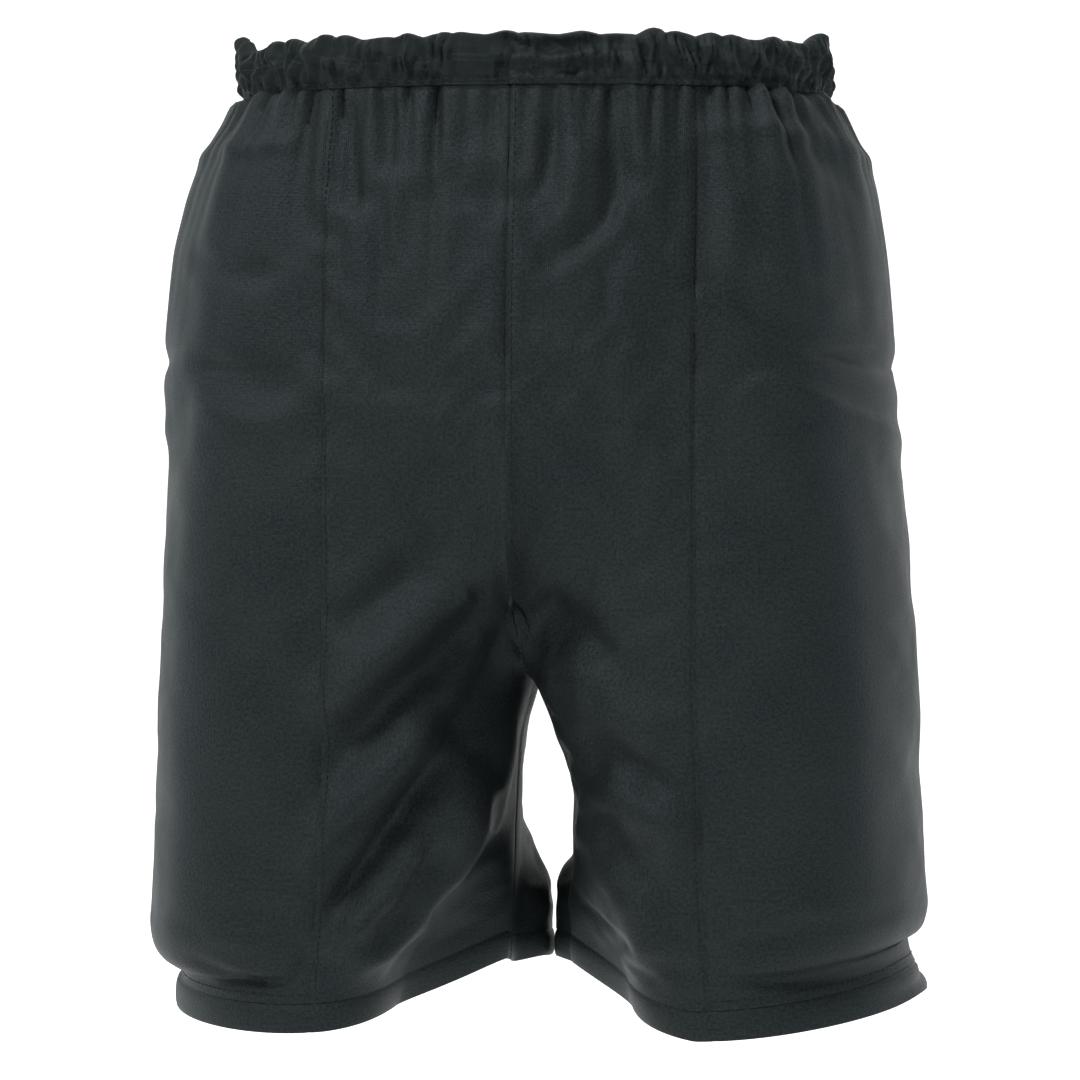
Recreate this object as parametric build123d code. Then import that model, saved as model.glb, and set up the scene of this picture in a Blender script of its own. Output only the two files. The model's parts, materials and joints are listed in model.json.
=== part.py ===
"""Padded impact shorts: knit shell, pad pockets, loose foam pads, waistband and hems.

Frame: millimetres, +Z up, the front of the shorts faces -Y and the wearer's left is +X.
The origin is the centre of the waist opening, at the top edge of the waistband.

Every layer follows one body outline. Half of the outline, on the wearer's left, is run along by
the parameter u, from 0 at the centre front, past 0.5 at the side, to 1 at the centre back. Below
the crotch the same u runs round the leg, from the inseam over the front, side and back.
"""
from build123d import *
import functools
import math
import os

# Heights, from the top of the waistband down
WAISTBAND_BOTTOM = -23.0
CROTCH = -305.0
POCKET_BOTTOM = -446.0
HEM_TOP = -452.0
HEM_BOTTOM = -466.0

# Body outline under the pads: height, half width, front, back, squareness of the corners
BODY_SECTIONS = [
    (0.0, 145.5, -99.0, 104.0, 2.1),
    (-23.0, 146.0, -100.0, 106.0, 2.1),
    (-60.0, 153.0, -107.0, 116.0, 2.2),
    (-110.0, 160.5, -114.0, 128.0, 2.3),
    (-160.0, 164.0, -117.0, 133.0, 2.4),
    (-220.0, 166.0, -118.0, 127.0, 2.5),
    (-305.0, 170.5, -114.0, 110.0, 2.3),
    (-380.0, 173.5, -109.0, 103.0, 2.2),
    (-425.0, 176.5, -106.0, 102.0, 2.2),
    (-446.0, 181.5, -105.0, 102.0, 2.2),
    (-466.0, 184.0, -105.0, 103.0, 2.2),
]

# Where one leg form takes over from the two-sided body form
FORK_SIDE_START = -130.0
FORK_CENTRE_START = -212.0
INSEAM_GAP = 12.0
SEAM_GAP = 0.6

# Cloth and seams
CLOTH = 1.2
LAYER_GAP = 0.5
FRONT_SEAM_X = 88.0
BACK_SEAM_X = 120.0
SEAM_CLEARANCE = 0.001
BAND_GAP = 0.3

# Waistband: a folded casing round a loose elastic
CASING_THICKNESS = 5.4
CASING_CLOTH = 1.1
ELASTIC_THICKNESS = 2.0
ELASTIC_TOP = -2.6
ELASTIC_BOTTOM = -20.6

# Pad pockets: how far the outer cloth stands off the lining, and how it runs in to its edges
POCKET_DEPTH = 15.0
POCKET_EDGE = 0.08
POCKET_TOP_RUN = 47.0
POCKET_BOTTOM_RUN = 23.0
PAD_CLEARANCE = 2.0
PAD_OUTER_CLEARANCE = 2.6

# Pads: height of top and bottom, and how far they stay from the front and back seams, in u
HIP_PAD = {"top": -64.0, "bottom": -138.0, "front": 0.055, "back": 0.035, "corner": 22.0}
THIGH_PAD = {"top": -163.0, "bottom": -434.0, "front": 0.024, "back": 0.024, "corner": 30.0}
TAILBONE_PAD = {"top": -78.0, "bottom": -176.0, "reach": 0.105, "corner": 26.0}
TAILBONE_THICKNESS = 9.0
TAILBONE_POCKET_MARGIN = 16.0
TAILBONE_POCKET_SLACK = 1.4

# Trim
STITCH_WIDTH_U = 0.0035
STITCH_HEIGHT = 1.6
STITCH_THICKNESS = 0.4
STITCH_INSET = 3.0
CENTRE_STITCH_GAP = 0.9
CENTRE_STITCH_END = FORK_CENTRE_START + 10.0
LABEL = {"width": 34.0, "top": -26.0, "bottom": -52.0, "thickness": 0.4}

# Sampling of the outline
LEVEL_STEP = 26.0
POINTS_ALONG = 13

# Length of cloth that one unit of u stands for, at the back and round a padded leg
BACK_MM_PER_U = 450.0
SIDE_MM_PER_U = 900.0


def section_value(z, column):
    """One column of the section list at height z, on a smooth curve through the rows."""
    rows = BODY_SECTIONS
    z = max(min(z, rows[0][0]), rows[-1][0])
    index = 0
    while index < len(rows) - 2 and z < rows[index + 1][0]:
        index += 1
    low, high = rows[index], rows[index + 1]
    before = rows[max(index - 1, 0)]
    after = rows[min(index + 2, len(rows) - 1)]
    span = high[0] - low[0]
    t = (z - low[0]) / span
    slope_low = (high[column] - before[column]) / (high[0] - before[0]) * span
    slope_high = (after[column] - low[column]) / (after[0] - low[0]) * span
    return (
        (2 * t**3 - 3 * t**2 + 1) * low[column]
        + (t**3 - 2 * t**2 + t) * slope_low
        + (3 * t**2 - 2 * t**3) * high[column]
        + (t**3 - t**2) * slope_high
    )


def smooth(t):
    """A soft step from 0 to 1."""
    t = max(0.0, min(1.0, t))
    return t * t * (3 - 2 * t)


def round_step(t):
    """A step from 0 to 1 that starts steeply and flattens, like a quarter of a circle."""
    t = max(0.0, min(1.0, t))
    return math.sqrt(max(0.0, 1 - (1 - t) ** 2))


def polar_radius(angle, half_x, half_y, squareness):
    """Radius of a squared-off ellipse in one direction."""
    along_x = abs(math.cos(angle) / half_x) ** squareness
    along_y = abs(math.sin(angle) / half_y) ** squareness
    return (along_x + along_y) ** (-1 / squareness)


def fork_weight(u, z):
    """How far the outline has turned from the body form (0) into a leg form (1)."""
    if z <= CROTCH:
        return 1.0
    side = smooth((FORK_SIDE_START - z) / (FORK_SIDE_START - CROTCH))
    t = max(0.0, (FORK_CENTRE_START - z) / (FORK_CENTRE_START - CROTCH))
    centre = 1 - math.sqrt(max(0.0, 1 - t * t))
    return side + (centre - side) * (2 * u - 1) ** 4


def outline(u, z):
    """Point of the outline on the wearer's left, without any offset."""
    half_width, front, back, squareness = [section_value(z, c) for c in (1, 2, 3, 4)]
    middle = (front + back) / 2
    half_depth = (back - front) / 2
    torso_angle = math.radians(-90 + 180 * u)
    torso_radius = polar_radius(torso_angle, half_width, half_depth, squareness)
    torso_x = torso_radius * math.cos(torso_angle)
    torso_y = middle + torso_radius * math.sin(torso_angle)
    inner = INSEAM_GAP / 2 * smooth((CROTCH - z) / (CROTCH - HEM_TOP))
    leg_half = (half_width - inner) / 2
    leg_angle = math.radians(-180 + 360 * u)
    leg_radius = polar_radius(leg_angle, leg_half, half_depth, squareness)
    leg_x = inner + leg_half + leg_radius * math.cos(leg_angle)
    leg_y = middle + leg_radius * math.sin(leg_angle)
    weight = fork_weight(u, z)
    x = torso_x + (leg_x - torso_x) * weight
    y = torso_y + (leg_y - torso_y) * weight
    return SEAM_GAP + x, y


def on_body(u, z, offset):
    """Point of the outline moved outward by offset, square to the outline."""
    step = 0.002
    u_before = max(0.0, u - step)
    u_after = min(1.0, u + step)
    x0, y0 = outline(u_before, z)
    x1, y1 = outline(u_after, z)
    length = math.hypot(x1 - x0, y1 - y0)
    x, y = outline(u, z)
    return x + (y1 - y0) / length * offset, y - (x1 - x0) / length * offset


@functools.cache
def seam_u(x, z, back):
    """Where a straight vertical seam at x crosses the outline, in front or at the back."""
    low, high = (1.0, 0.55) if back else (0.0, 0.45)
    for _ in range(40):
        middle = (low + high) / 2
        if outline(middle, z)[0] < x:
            low = middle
        else:
            high = middle
    return (low + high) / 2


def pocket_span(z):
    """Front and back seams of the side pocket at height z."""
    return seam_u(FRONT_SEAM_X, z, False), seam_u(BACK_SEAM_X, z, True)


def pocket_bulge(u, z):
    """Height of the pocket space over the lining."""
    front, back = pocket_span(z)
    edge = min(u - front, back - u) / POCKET_EDGE
    top = (WAISTBAND_BOTTOM - z) / POCKET_TOP_RUN
    bottom = (z - POCKET_BOTTOM) / POCKET_BOTTOM_RUN
    return POCKET_DEPTH * round_step(edge) * round_step(top) * round_step(bottom)


def levels(top, bottom):
    """Evenly spaced heights, from top to bottom."""
    count = max(2, math.ceil((top - bottom) / LEVEL_STEP))
    return [top + (bottom - top) * i / count for i in range(count + 1)]


def panel_levels():
    """Heights of the long panels, closer together above the crotch where the outline forks."""
    fork = [CROTCH + rise for rise in (60.0, 34.0, 16.0, 5.0)]
    top = WAISTBAND_BOTTOM - BAND_GAP
    return levels(top, fork[0])[:-1] + fork + levels(CROTCH, HEM_TOP + BAND_GAP)


def pocket_levels():
    """Heights of the pocket walls, closer together where the pocket runs in to its ends."""
    heights = panel_levels()
    heights[1:1] = [WAISTBAND_BOTTOM - run for run in (6.0, 14.0)]
    heights[-1:-1] = [POCKET_BOTTOM + run for run in (10.0, 3.0)]
    return heights


def rounded_levels(top, bottom, corner):
    """Heights for a shape with rounded corners, closer together in the corners."""
    fractions = (0.0, 0.12, 0.45, 1.0)
    head = [top - corner * f for f in fractions]
    foot = [bottom + corner * f for f in reversed(fractions)]
    return head + levels(head[-1], foot[0])[1:-1] + foot


def corner_trim(z, top, bottom, corner):
    """How far the outline of a rounded shape pulls in at height z, in the corner's own units."""
    depth = max(0.0, corner - min(top - z, z - bottom))
    return corner - math.sqrt(max(0.0, corner**2 - depth**2))


def strip_wire(outer, inner, z):
    """Closed flat outline between two open rows of points."""
    outer = [(x, y, z) for x, y in outer]
    inner = [(x, y, z) for x, y in inner]
    return Wire(
        [
            Edge.make_spline([Vector(*p) for p in outer]),
            Edge.make_line(outer[-1], inner[-1]),
            Edge.make_spline([Vector(*p) for p in reversed(inner)]),
            Edge.make_line(inner[0], outer[0]),
        ]
    )


def band(heights, span, inner, outer):
    """Layer on the wearer's left between two offsets of the outline, over a span of u."""
    sections = []
    for z in heights:
        first, last = span(z)
        us = [first + (last - first) * i / (POINTS_ALONG - 1) for i in range(POINTS_ALONG)]
        outer_row = [on_body(u, z, outer(u, z)) for u in us]
        inner_row = [on_body(u, z, inner(u, z)) for u in us]
        sections.append(strip_wire(outer_row, inner_row, z))
    return Solid.make_loft(sections)


def centre_band(heights, centre_u, reach, inner, outer):
    """Layer across the centre front (centre_u 0) or the centre back (centre_u 1)."""
    sections = []
    inward = 1 if centre_u == 0 else -1
    for z in heights:
        rows = {inner: [], outer: []}
        for i in range(POINTS_ALONG):
            side = -1 + 2 * i / (POINTS_ALONG - 1)
            u = centre_u + inward * abs(side) * reach(z)
            for offset, row in rows.items():
                x, y = on_body(u, z, offset(u, z))
                x = (x - SEAM_GAP) * side / abs(side) if side else 0.0
                row.append((x, y))
        sections.append(strip_wire(rows[outer], rows[inner], z))
    return Solid.make_loft(sections)


def closed_wire(points, z):
    """Closed smooth outline through points."""
    return Wire([Edge.make_spline([Vector(x, y, z) for x, y in points], periodic=True)])


def torso_solid(top, bottom, offset):
    """Whole waist form between two heights."""
    sections = []
    for z in (top, (top + bottom) / 2, bottom):
        half = [on_body(i / 16, z, offset) for i in range(17)]
        left = [(x - SEAM_GAP, y) for x, y in half]
        right = [(-x, y) for x, y in reversed(left[1:-1])]
        sections.append(closed_wire(left + right, z))
    return Solid.make_loft(sections)


def leg_solid(top, bottom, offset):
    """Whole form of the left leg between two heights."""
    sections = []
    for z in (top, (top + bottom) / 2, bottom):
        sections.append(closed_wire([on_body(i / 24, z, offset) for i in range(24)], z))
    return Solid.make_loft(sections)


def ring(form, top, bottom, outer, inner):
    """Closed band round the waist or a leg."""
    return form(top, bottom, outer) - form(top + 1, bottom - 1, inner)


def fixed(value):
    """An offset that is the same everywhere."""
    return lambda u, z: value


def front_panel():
    """Front of one leg and half of the front, from the centre seam to the pocket seam."""
    return band(
        panel_levels(),
        lambda z: (SEAM_CLEARANCE, pocket_span(z)[0] - SEAM_CLEARANCE),
        fixed(-CLOTH),
        fixed(0.0),
    )


def back_panel():
    """Back of one leg and half of the seat."""
    return band(
        panel_levels(),
        lambda z: (pocket_span(z)[1] + SEAM_CLEARANCE, 1 - SEAM_CLEARANCE),
        fixed(-CLOTH),
        fixed(0.0),
    )


def pocket_lining():
    """Inner wall of the pad pocket, against the wearer."""
    return band(pocket_levels(), pocket_span, fixed(-CLOTH), fixed(0.0))


def side_panel():
    """Outer wall of the pad pocket."""
    return band(
        pocket_levels(),
        pocket_span,
        lambda u, z: pocket_bulge(u, z) + LAYER_GAP,
        lambda u, z: pocket_bulge(u, z) + LAYER_GAP + CLOTH,
    )


def side_pad(size):
    """Foam pad of the side pocket, with rounded corners and thinner edges."""
    def span(z):
        trim = corner_trim(z, size["top"], size["bottom"], size["corner"]) / SIDE_MM_PER_U
        front, back = pocket_span(z)
        return front + size["front"] + trim, back - size["back"] - trim

    return band(
        rounded_levels(size["top"], size["bottom"], size["corner"]),
        span,
        fixed(PAD_CLEARANCE),
        lambda u, z: pocket_bulge(u, z) + LAYER_GAP - PAD_OUTER_CLEARANCE,
    )


def tailbone_reach(z, margin):
    """How far the tailbone pad or its pocket reaches either side of the centre back."""
    size = TAILBONE_PAD
    trim = corner_trim(z, size["top"] + margin, size["bottom"] - margin, size["corner"])
    return size["reach"] + (margin - trim) / BACK_MM_PER_U


def tailbone_pad():
    """Foam pad over the tailbone, inside the seat."""
    size = TAILBONE_PAD
    outer = -CLOTH - PAD_CLEARANCE
    return centre_band(
        rounded_levels(size["top"], size["bottom"], size["corner"]),
        1,
        lambda z: tailbone_reach(z, 0.0),
        fixed(outer - TAILBONE_THICKNESS),
        fixed(outer),
    )


def tailbone_pocket():
    """Inner wall of the tailbone pocket, sewn to the seat round its edge."""
    size = TAILBONE_PAD
    margin = TAILBONE_POCKET_MARGIN
    deepest = TAILBONE_THICKNESS + 2 * PAD_CLEARANCE + TAILBONE_POCKET_SLACK
    top, bottom = size["top"] + margin, size["bottom"] - margin

    def depth(u, z):
        edge = ((u - 1) + tailbone_reach(z, margin)) * BACK_MM_PER_U / margin
        ends = min(top - z, z - bottom) / margin
        return deepest * round_step(edge) * round_step(ends) + CLOTH + LAYER_GAP

    return centre_band(
        rounded_levels(top, bottom, size["corner"]),
        1,
        lambda z: tailbone_reach(z, margin),
        lambda u, z: -depth(u, z) - CLOTH,
        lambda u, z: -depth(u, z),
    )


def waistband_casing():
    """Cloth folded over the elastic: outer wall, top fold and inner wall."""
    whole = ring(torso_solid, 0.0, WAISTBAND_BOTTOM, 1.0, 1.0 - CASING_THICKNESS)
    channel = ring(
        torso_solid,
        -CASING_CLOTH,
        WAISTBAND_BOTTOM - 1,
        1.0 - CASING_CLOTH,
        1.0 - CASING_THICKNESS + CASING_CLOTH,
    )
    return whole - channel


def waist_elastic():
    """Elastic band that runs loose in the casing."""
    middle = 1.0 - CASING_THICKNESS / 2
    half = ELASTIC_THICKNESS / 2
    return ring(torso_solid, ELASTIC_TOP, ELASTIC_BOTTOM, middle + half, middle - half)


def leg_hem():
    """Turned-up double cloth round the leg opening."""
    return ring(leg_solid, HEM_TOP, HEM_BOTTOM, 0.0, -2 * CLOTH)


def care_label():
    """Blank label inside the back of the waist."""
    size = LABEL
    outer = -CLOTH - LAYER_GAP
    reach = size["width"] / 2 / BACK_MM_PER_U
    return centre_band(
        levels(size["top"], size["bottom"]),
        1,
        lambda z: reach,
        fixed(outer - size["thickness"]),
        fixed(outer),
    )


def centre_stitching(centre_u):
    """Seam stitching down the centre front or centre back."""
    inner = fixed(CENTRE_STITCH_GAP)
    outer = fixed(CENTRE_STITCH_GAP + STITCH_THICKNESS)
    heights = [z for z in panel_levels() if z > CENTRE_STITCH_END] + [CENTRE_STITCH_END]
    return centre_band(heights, centre_u, lambda z: STITCH_WIDTH_U, inner, outer)


def pocket_stitching():
    """Both long stitch lines of one pad pocket."""

    def front_span(z):
        start = pocket_span(z)[0] + SEAM_CLEARANCE
        return start, start + STITCH_WIDTH_U

    def back_span(z):
        end = pocket_span(z)[1] - SEAM_CLEARANCE
        return end - STITCH_WIDTH_U, end

    def under(u, z):
        return pocket_bulge(u, z) + LAYER_GAP * 2 + CLOTH

    rows = []
    for span in (front_span, back_span):
        rows.append(
            band(pocket_levels(), span, under, lambda u, z: under(u, z) + STITCH_THICKNESS)
        )
    return Compound(rows)


def round_stitching(form, top, base):
    """A row of stitches all the way round the waist or a leg."""
    start = base + LAYER_GAP
    return ring(form, top, top - STITCH_HEIGHT, start + STITCH_THICKNESS, start)


def save(name, shape):
    """Write one node."""
    shape.label = name
    export_step(shape, os.path.join("parts", name + ".step"))


def save_both_sides(name, shape):
    """Write a left node and its mirror image."""
    save("left_" + name, shape)
    save("right_" + name, mirror(shape, about=Plane.YZ))


def main():
    """Build and write every node."""
    os.makedirs("parts", exist_ok=True)
    save_both_sides("front_panel", front_panel())
    save_both_sides("back_panel", back_panel())
    save_both_sides("side_panel", side_panel())
    save_both_sides("pocket_lining", pocket_lining())
    save_both_sides("hip_pad", side_pad(HIP_PAD))
    save_both_sides("thigh_pad", side_pad(THIGH_PAD))
    save_both_sides("leg_hem", leg_hem())
    save_both_sides("pocket_stitching", pocket_stitching())
    save_both_sides("hem_stitching", round_stitching(leg_solid, HEM_TOP - STITCH_INSET, 0.0))
    save("tailbone_pad", tailbone_pad())
    save("tailbone_pocket", tailbone_pocket())
    save("waistband_casing", waistband_casing())
    save("waist_elastic", waist_elastic())
    save("waist_stitching", round_stitching(torso_solid, WAISTBAND_BOTTOM + STITCH_INSET, 1.0))
    save("care_label", care_label())
    save("centre_front_stitching", centre_stitching(0))
    save("centre_back_stitching", centre_stitching(1))


main()
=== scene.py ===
import json
import math
import bmesh
import bpy
import numpy as np
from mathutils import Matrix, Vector
from mathutils.kdtree import KDTree

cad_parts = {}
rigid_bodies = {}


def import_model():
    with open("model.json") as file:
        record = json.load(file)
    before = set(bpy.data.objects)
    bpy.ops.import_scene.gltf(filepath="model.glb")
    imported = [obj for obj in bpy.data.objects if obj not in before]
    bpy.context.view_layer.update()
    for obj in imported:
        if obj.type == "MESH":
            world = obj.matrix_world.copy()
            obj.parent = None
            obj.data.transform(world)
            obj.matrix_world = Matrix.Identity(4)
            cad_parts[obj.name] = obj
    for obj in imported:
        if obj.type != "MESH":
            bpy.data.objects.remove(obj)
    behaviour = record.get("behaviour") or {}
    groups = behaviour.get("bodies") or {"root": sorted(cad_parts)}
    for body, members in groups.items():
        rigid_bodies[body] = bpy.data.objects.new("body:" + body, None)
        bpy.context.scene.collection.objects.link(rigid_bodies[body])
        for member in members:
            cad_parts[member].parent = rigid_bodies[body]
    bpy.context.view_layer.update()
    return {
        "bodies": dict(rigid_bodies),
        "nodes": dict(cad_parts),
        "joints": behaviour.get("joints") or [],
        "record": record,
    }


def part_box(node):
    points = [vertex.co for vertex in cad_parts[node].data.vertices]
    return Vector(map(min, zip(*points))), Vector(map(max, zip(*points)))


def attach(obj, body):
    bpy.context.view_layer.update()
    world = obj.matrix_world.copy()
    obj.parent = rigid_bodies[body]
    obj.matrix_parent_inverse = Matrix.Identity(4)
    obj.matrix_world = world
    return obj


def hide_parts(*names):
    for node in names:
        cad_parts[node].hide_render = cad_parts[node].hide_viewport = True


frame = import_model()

# The garment is worked out in millimetres in the part's own frame and turned into metres last.
# side is +1 for the wearer's left (+X) and -1 for the right. u runs along half of the outline,
# from 0 at the centre front to 1 at the centre back, and round one leg below the crotch.

MM = 0.001


def top_mm(node):
    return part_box(node)[1].z / MM


def bottom_mm(node):
    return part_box(node)[0].z / MM


WAIST_TOP = top_mm("waistband_casing")
WAISTBAND_BOTTOM = bottom_mm("waistband_casing")
HEM_TOP = top_mm("left_leg_hem")
HEM_BOTTOM = bottom_mm("left_leg_hem")
CROTCH = -305.0
POCKET_BOTTOM = -446.0

# Height, half width, front, back and squareness of the body under the pads, as in the CAD part
BODY_SECTIONS = np.array([
    (0.0, 145.5, -99.0, 104.0, 2.1),
    (-23.0, 146.0, -100.0, 106.0, 2.1),
    (-60.0, 153.0, -107.0, 116.0, 2.2),
    (-110.0, 160.5, -114.0, 128.0, 2.3),
    (-160.0, 164.0, -117.0, 133.0, 2.4),
    (-220.0, 166.0, -118.0, 127.0, 2.5),
    (-305.0, 170.5, -114.0, 110.0, 2.3),
    (-380.0, 173.5, -109.0, 103.0, 2.2),
    (-425.0, 176.5, -106.0, 102.0, 2.2),
    (-446.0, 181.5, -105.0, 102.0, 2.2),
    (-466.0, 184.0, -105.0, 103.0, 2.2),
])
FORK_SIDE_START = -130.0
FORK_CENTRE_START = -212.0
ARCH_SHARPNESS = 20
FORK_EASE_END = -372.0
INSEAM_GAP = 12.0
FRONT_SEAM_X = 88.0
BACK_SEAM_X = 120.0
POCKET_DEPTH = 15.0
POCKET_EDGE = 0.08
POCKET_TOP_RUN = 47.0
POCKET_BOTTOM_RUN = 23.0
POCKET_LIFT = {1: 9.0, -1: 3.0}
POCKET_FULLNESS = 1.2
MM_PER_U = 560.0
HALF_GIRTH = 450.0

CLOTH = 1.0
COLUMNS_FRONT = 58
COLUMNS_SIDE = 96
COLUMNS_BACK = 66
ROW_STEP = 2.0
SEAM_COLUMNS = (COLUMNS_FRONT, COLUMNS_FRONT + COLUMNS_SIDE)
LAST_COLUMN = COLUMNS_FRONT + COLUMNS_SIDE + COLUMNS_BACK

# Camera: azimuth towards the wearer's left, distance from the body's axis and height, in mm
CAMERA_AZIMUTH = math.radians(8.0)
CAMERA_DISTANCE = 1670.0
CAMERA_HEIGHT = -137.0
CAMERA_AIM_SIDE = 0.0
CAMERA_AIM_HEIGHT = -236.0
CAMERA_LENS = 112.7


def smooth(t):
    t = np.clip(t, 0.0, 1.0)
    return t * t * (3 - 2 * t)


def bell(x, width):
    return np.exp(-((x / width) ** 2))


def at_least(x, low, ease):
    """x held above low, with a soft bend of that size where it comes near."""
    return low + ease * np.logaddexp(0, (x - low) / ease)


def round_step(t):
    t = np.clip(t, 0.0, 1.0)
    return np.sqrt(1 - (1 - t) ** 2)


def section(z, column):
    """One column of BODY_SECTIONS at heights z, on a smooth curve through the rows."""
    rows = BODY_SECTIONS
    heights = rows[:, 0]
    values = rows[:, column]
    slopes = np.gradient(values, heights)
    slopes[1:-1] = (values[2:] - values[:-2]) / (heights[2:] - heights[:-2])
    z = np.clip(z, heights[-1], heights[0])
    i = np.clip(np.searchsorted(-heights, -z, side="right") - 1, 0, len(rows) - 2)
    span = heights[i + 1] - heights[i]
    t = (z - heights[i]) / span
    return (
        (2 * t**3 - 3 * t**2 + 1) * values[i]
        + (t**3 - 2 * t**2 + t) * slopes[i] * span
        + (3 * t**2 - 2 * t**3) * values[i + 1]
        + (t**3 - t**2) * slopes[i + 1] * span
    )


def polar_radius(angle, half_x, half_y, squareness):
    along_x = np.abs(np.cos(angle) / half_x) ** squareness
    along_y = np.abs(np.sin(angle) / half_y) ** squareness
    return (along_x + along_y) ** (-1 / squareness)


def outline(u, z):
    """Points of the body outline on the +X side."""
    half_width, front, back, squareness = [section(z, c) for c in (1, 2, 3, 4)]
    middle = (front + back) / 2
    half_depth = (back - front) / 2
    torso_angle = np.radians(-90 + 180 * u)
    torso_radius = polar_radius(torso_angle, half_width, half_depth, squareness)
    torso_x = torso_radius * np.cos(torso_angle)
    torso_y = middle + torso_radius * np.sin(torso_angle)
    inner = INSEAM_GAP / 2 * smooth((CROTCH - z) / (CROTCH - HEM_TOP))
    leg_half = (half_width - inner) / 2
    leg_angle = np.radians(-180 + 360 * u)
    leg_radius = polar_radius(leg_angle, leg_half, half_depth, squareness)
    leg_x = inner + leg_half + leg_radius * np.cos(leg_angle)
    leg_y = middle + leg_radius * np.sin(leg_angle)
    side_weight = smooth((FORK_SIDE_START - z) / (FORK_SIDE_START - FORK_EASE_END))
    t = np.clip((FORK_CENTRE_START - z) / (FORK_CENTRE_START - CROTCH), 0, 1)
    arch = 1 - np.sqrt(1 - t * t)
    sharp = np.abs(2 * u - 1) ** ARCH_SHARPNESS
    eased = smooth((FORK_CENTRE_START - z) / (FORK_CENTRE_START - FORK_EASE_END))
    centre_weight = arch * sharp + eased * (1 - sharp)
    weight = side_weight + (centre_weight - side_weight) * (2 * u - 1) ** 4
    x = torso_x + (leg_x - torso_x) * weight
    y = torso_y + (leg_y - torso_y) * weight
    return x, y


def seam_u(x, z, back):
    """Where a straight vertical seam at x crosses the outline, for each height in z."""
    low = np.full_like(z, 1.0 if back else 0.0)
    high = np.full_like(z, 0.55 if back else 0.45)
    for _ in range(30):
        middle = (low + high) / 2
        below = outline(middle, z)[0] < x
        low = np.where(below, middle, low)
        high = np.where(below, high, middle)
    return (low + high) / 2


def on_body(u, z, offset):
    """Points of the outline on the +X side, moved outward by offset."""
    step = 0.002
    x0, y0 = outline(np.maximum(u - step, 0), z)
    x1, y1 = outline(np.minimum(u + step, 1), z)
    length = np.hypot(x1 - x0, y1 - y0)
    x, y = outline(u, z)
    return np.stack([x + (y1 - y0) / length * offset, y - (x1 - x0) / length * offset, z], -1)


def pocket_bulge(u, z, front, back, side):
    edge = np.minimum(u - front, back - u) / POCKET_EDGE
    top = (WAISTBAND_BOTTOM - z) / POCKET_TOP_RUN
    bottom = (z - POCKET_BOTTOM - POCKET_LIFT[side]) / POCKET_BOTTOM_RUN
    return POCKET_DEPTH * smooth(edge / 1.5) * round_step(top) * round_step(bottom)


def grid_normals(points):
    """Unit normals of a grid of points: outward for a grid walked front to back, top down."""
    along = np.gradient(points, axis=0)
    down = np.gradient(points, axis=1)
    normal = np.cross(down, along)
    return normal / np.maximum(np.linalg.norm(normal, axis=-1, keepdims=True), 1e-9)


def view_plane(points):
    """Where points show on an upright plane through the body's axis, across and up, in mm."""
    across = points[..., 0] * math.cos(CAMERA_AZIMUTH) + points[..., 1] * math.sin(CAMERA_AZIMUTH)
    towards = points[..., 0] * math.sin(CAMERA_AZIMUTH) - points[..., 1] * math.cos(CAMERA_AZIMUTH)
    scale = CAMERA_DISTANCE / (CAMERA_DISTANCE - towards)
    return across * scale, CAMERA_HEIGHT + (points[..., 2] - CAMERA_HEIGHT) * scale


def curve_through(points, per_span=8):
    """A smooth curve through a few points, as many short straight runs."""
    p = np.array(points, float)
    if len(p) == 2:
        t = np.linspace(0, 1, per_span + 1)[:, None]
        return p[0] + (p[1] - p[0]) * t
    ends = np.vstack([2 * p[0] - p[1], p, 2 * p[-1] - p[-2]])
    out = []
    for i in range(1, len(ends) - 2):
        a, b, c, d = ends[i - 1:i + 3]
        for k in range(per_span):
            t = k / per_span
            out.append(0.5 * ((2 * b) + (c - a) * t + (2 * a - 5 * b + 4 * c - d) * t * t
                              + (3 * b - a - 3 * c + d) * t**3))
    out.append(p[-1])
    return np.array(out)


# A fold is worked out this many half widths to each side, and fades over this share of each end
FOLD_REACH = 3.2
FOLD_FADE = 0.25


def fold(across, up, points, width, height, lean=0.0):
    """Height of one fold along a curve: a ridge, or a valley where height is negative.
    A positive lean steepens the flank on the left of the walk."""
    line = curve_through(points)
    lengths = np.r_[0, np.cumsum(np.linalg.norm(np.diff(line, axis=0), axis=1))]
    reach = width * FOLD_REACH
    low, high = line.min(0) - reach, line.max(0) + reach
    inside = (across > low[0]) & (across < high[0]) & (up > low[1]) & (up < high[1])
    field = np.zeros_like(across)
    if not inside.any():
        return field
    p = np.stack([across[inside], up[inside]], -1)
    best = np.full(len(p), 1e9)
    place = np.zeros(len(p))
    flank = np.zeros(len(p))
    for i in range(len(line) - 1):
        a, d = line[i], line[i + 1] - line[i]
        size = max(d @ d, 1e-9)
        t = np.clip(((p - a) @ d) / size, 0, 1)
        off = p - a - t[:, None] * d
        distance = np.hypot(off[:, 0], off[:, 1])
        nearer = distance < best
        best = np.where(nearer, distance, best)
        place = np.where(nearer, (lengths[i] + t * math.sqrt(size)) / lengths[-1], place)
        flank = np.where(nearer, np.sign(d[0] * off[:, 1] - d[1] * off[:, 0]), flank)
    wide = width * (1 - lean * flank)
    shape = bell(best, wide)
    fade = smooth(place / FOLD_FADE) * smooth((1 - place) / FOLD_FADE)
    field[inside] = height * shape * fade
    return field


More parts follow.
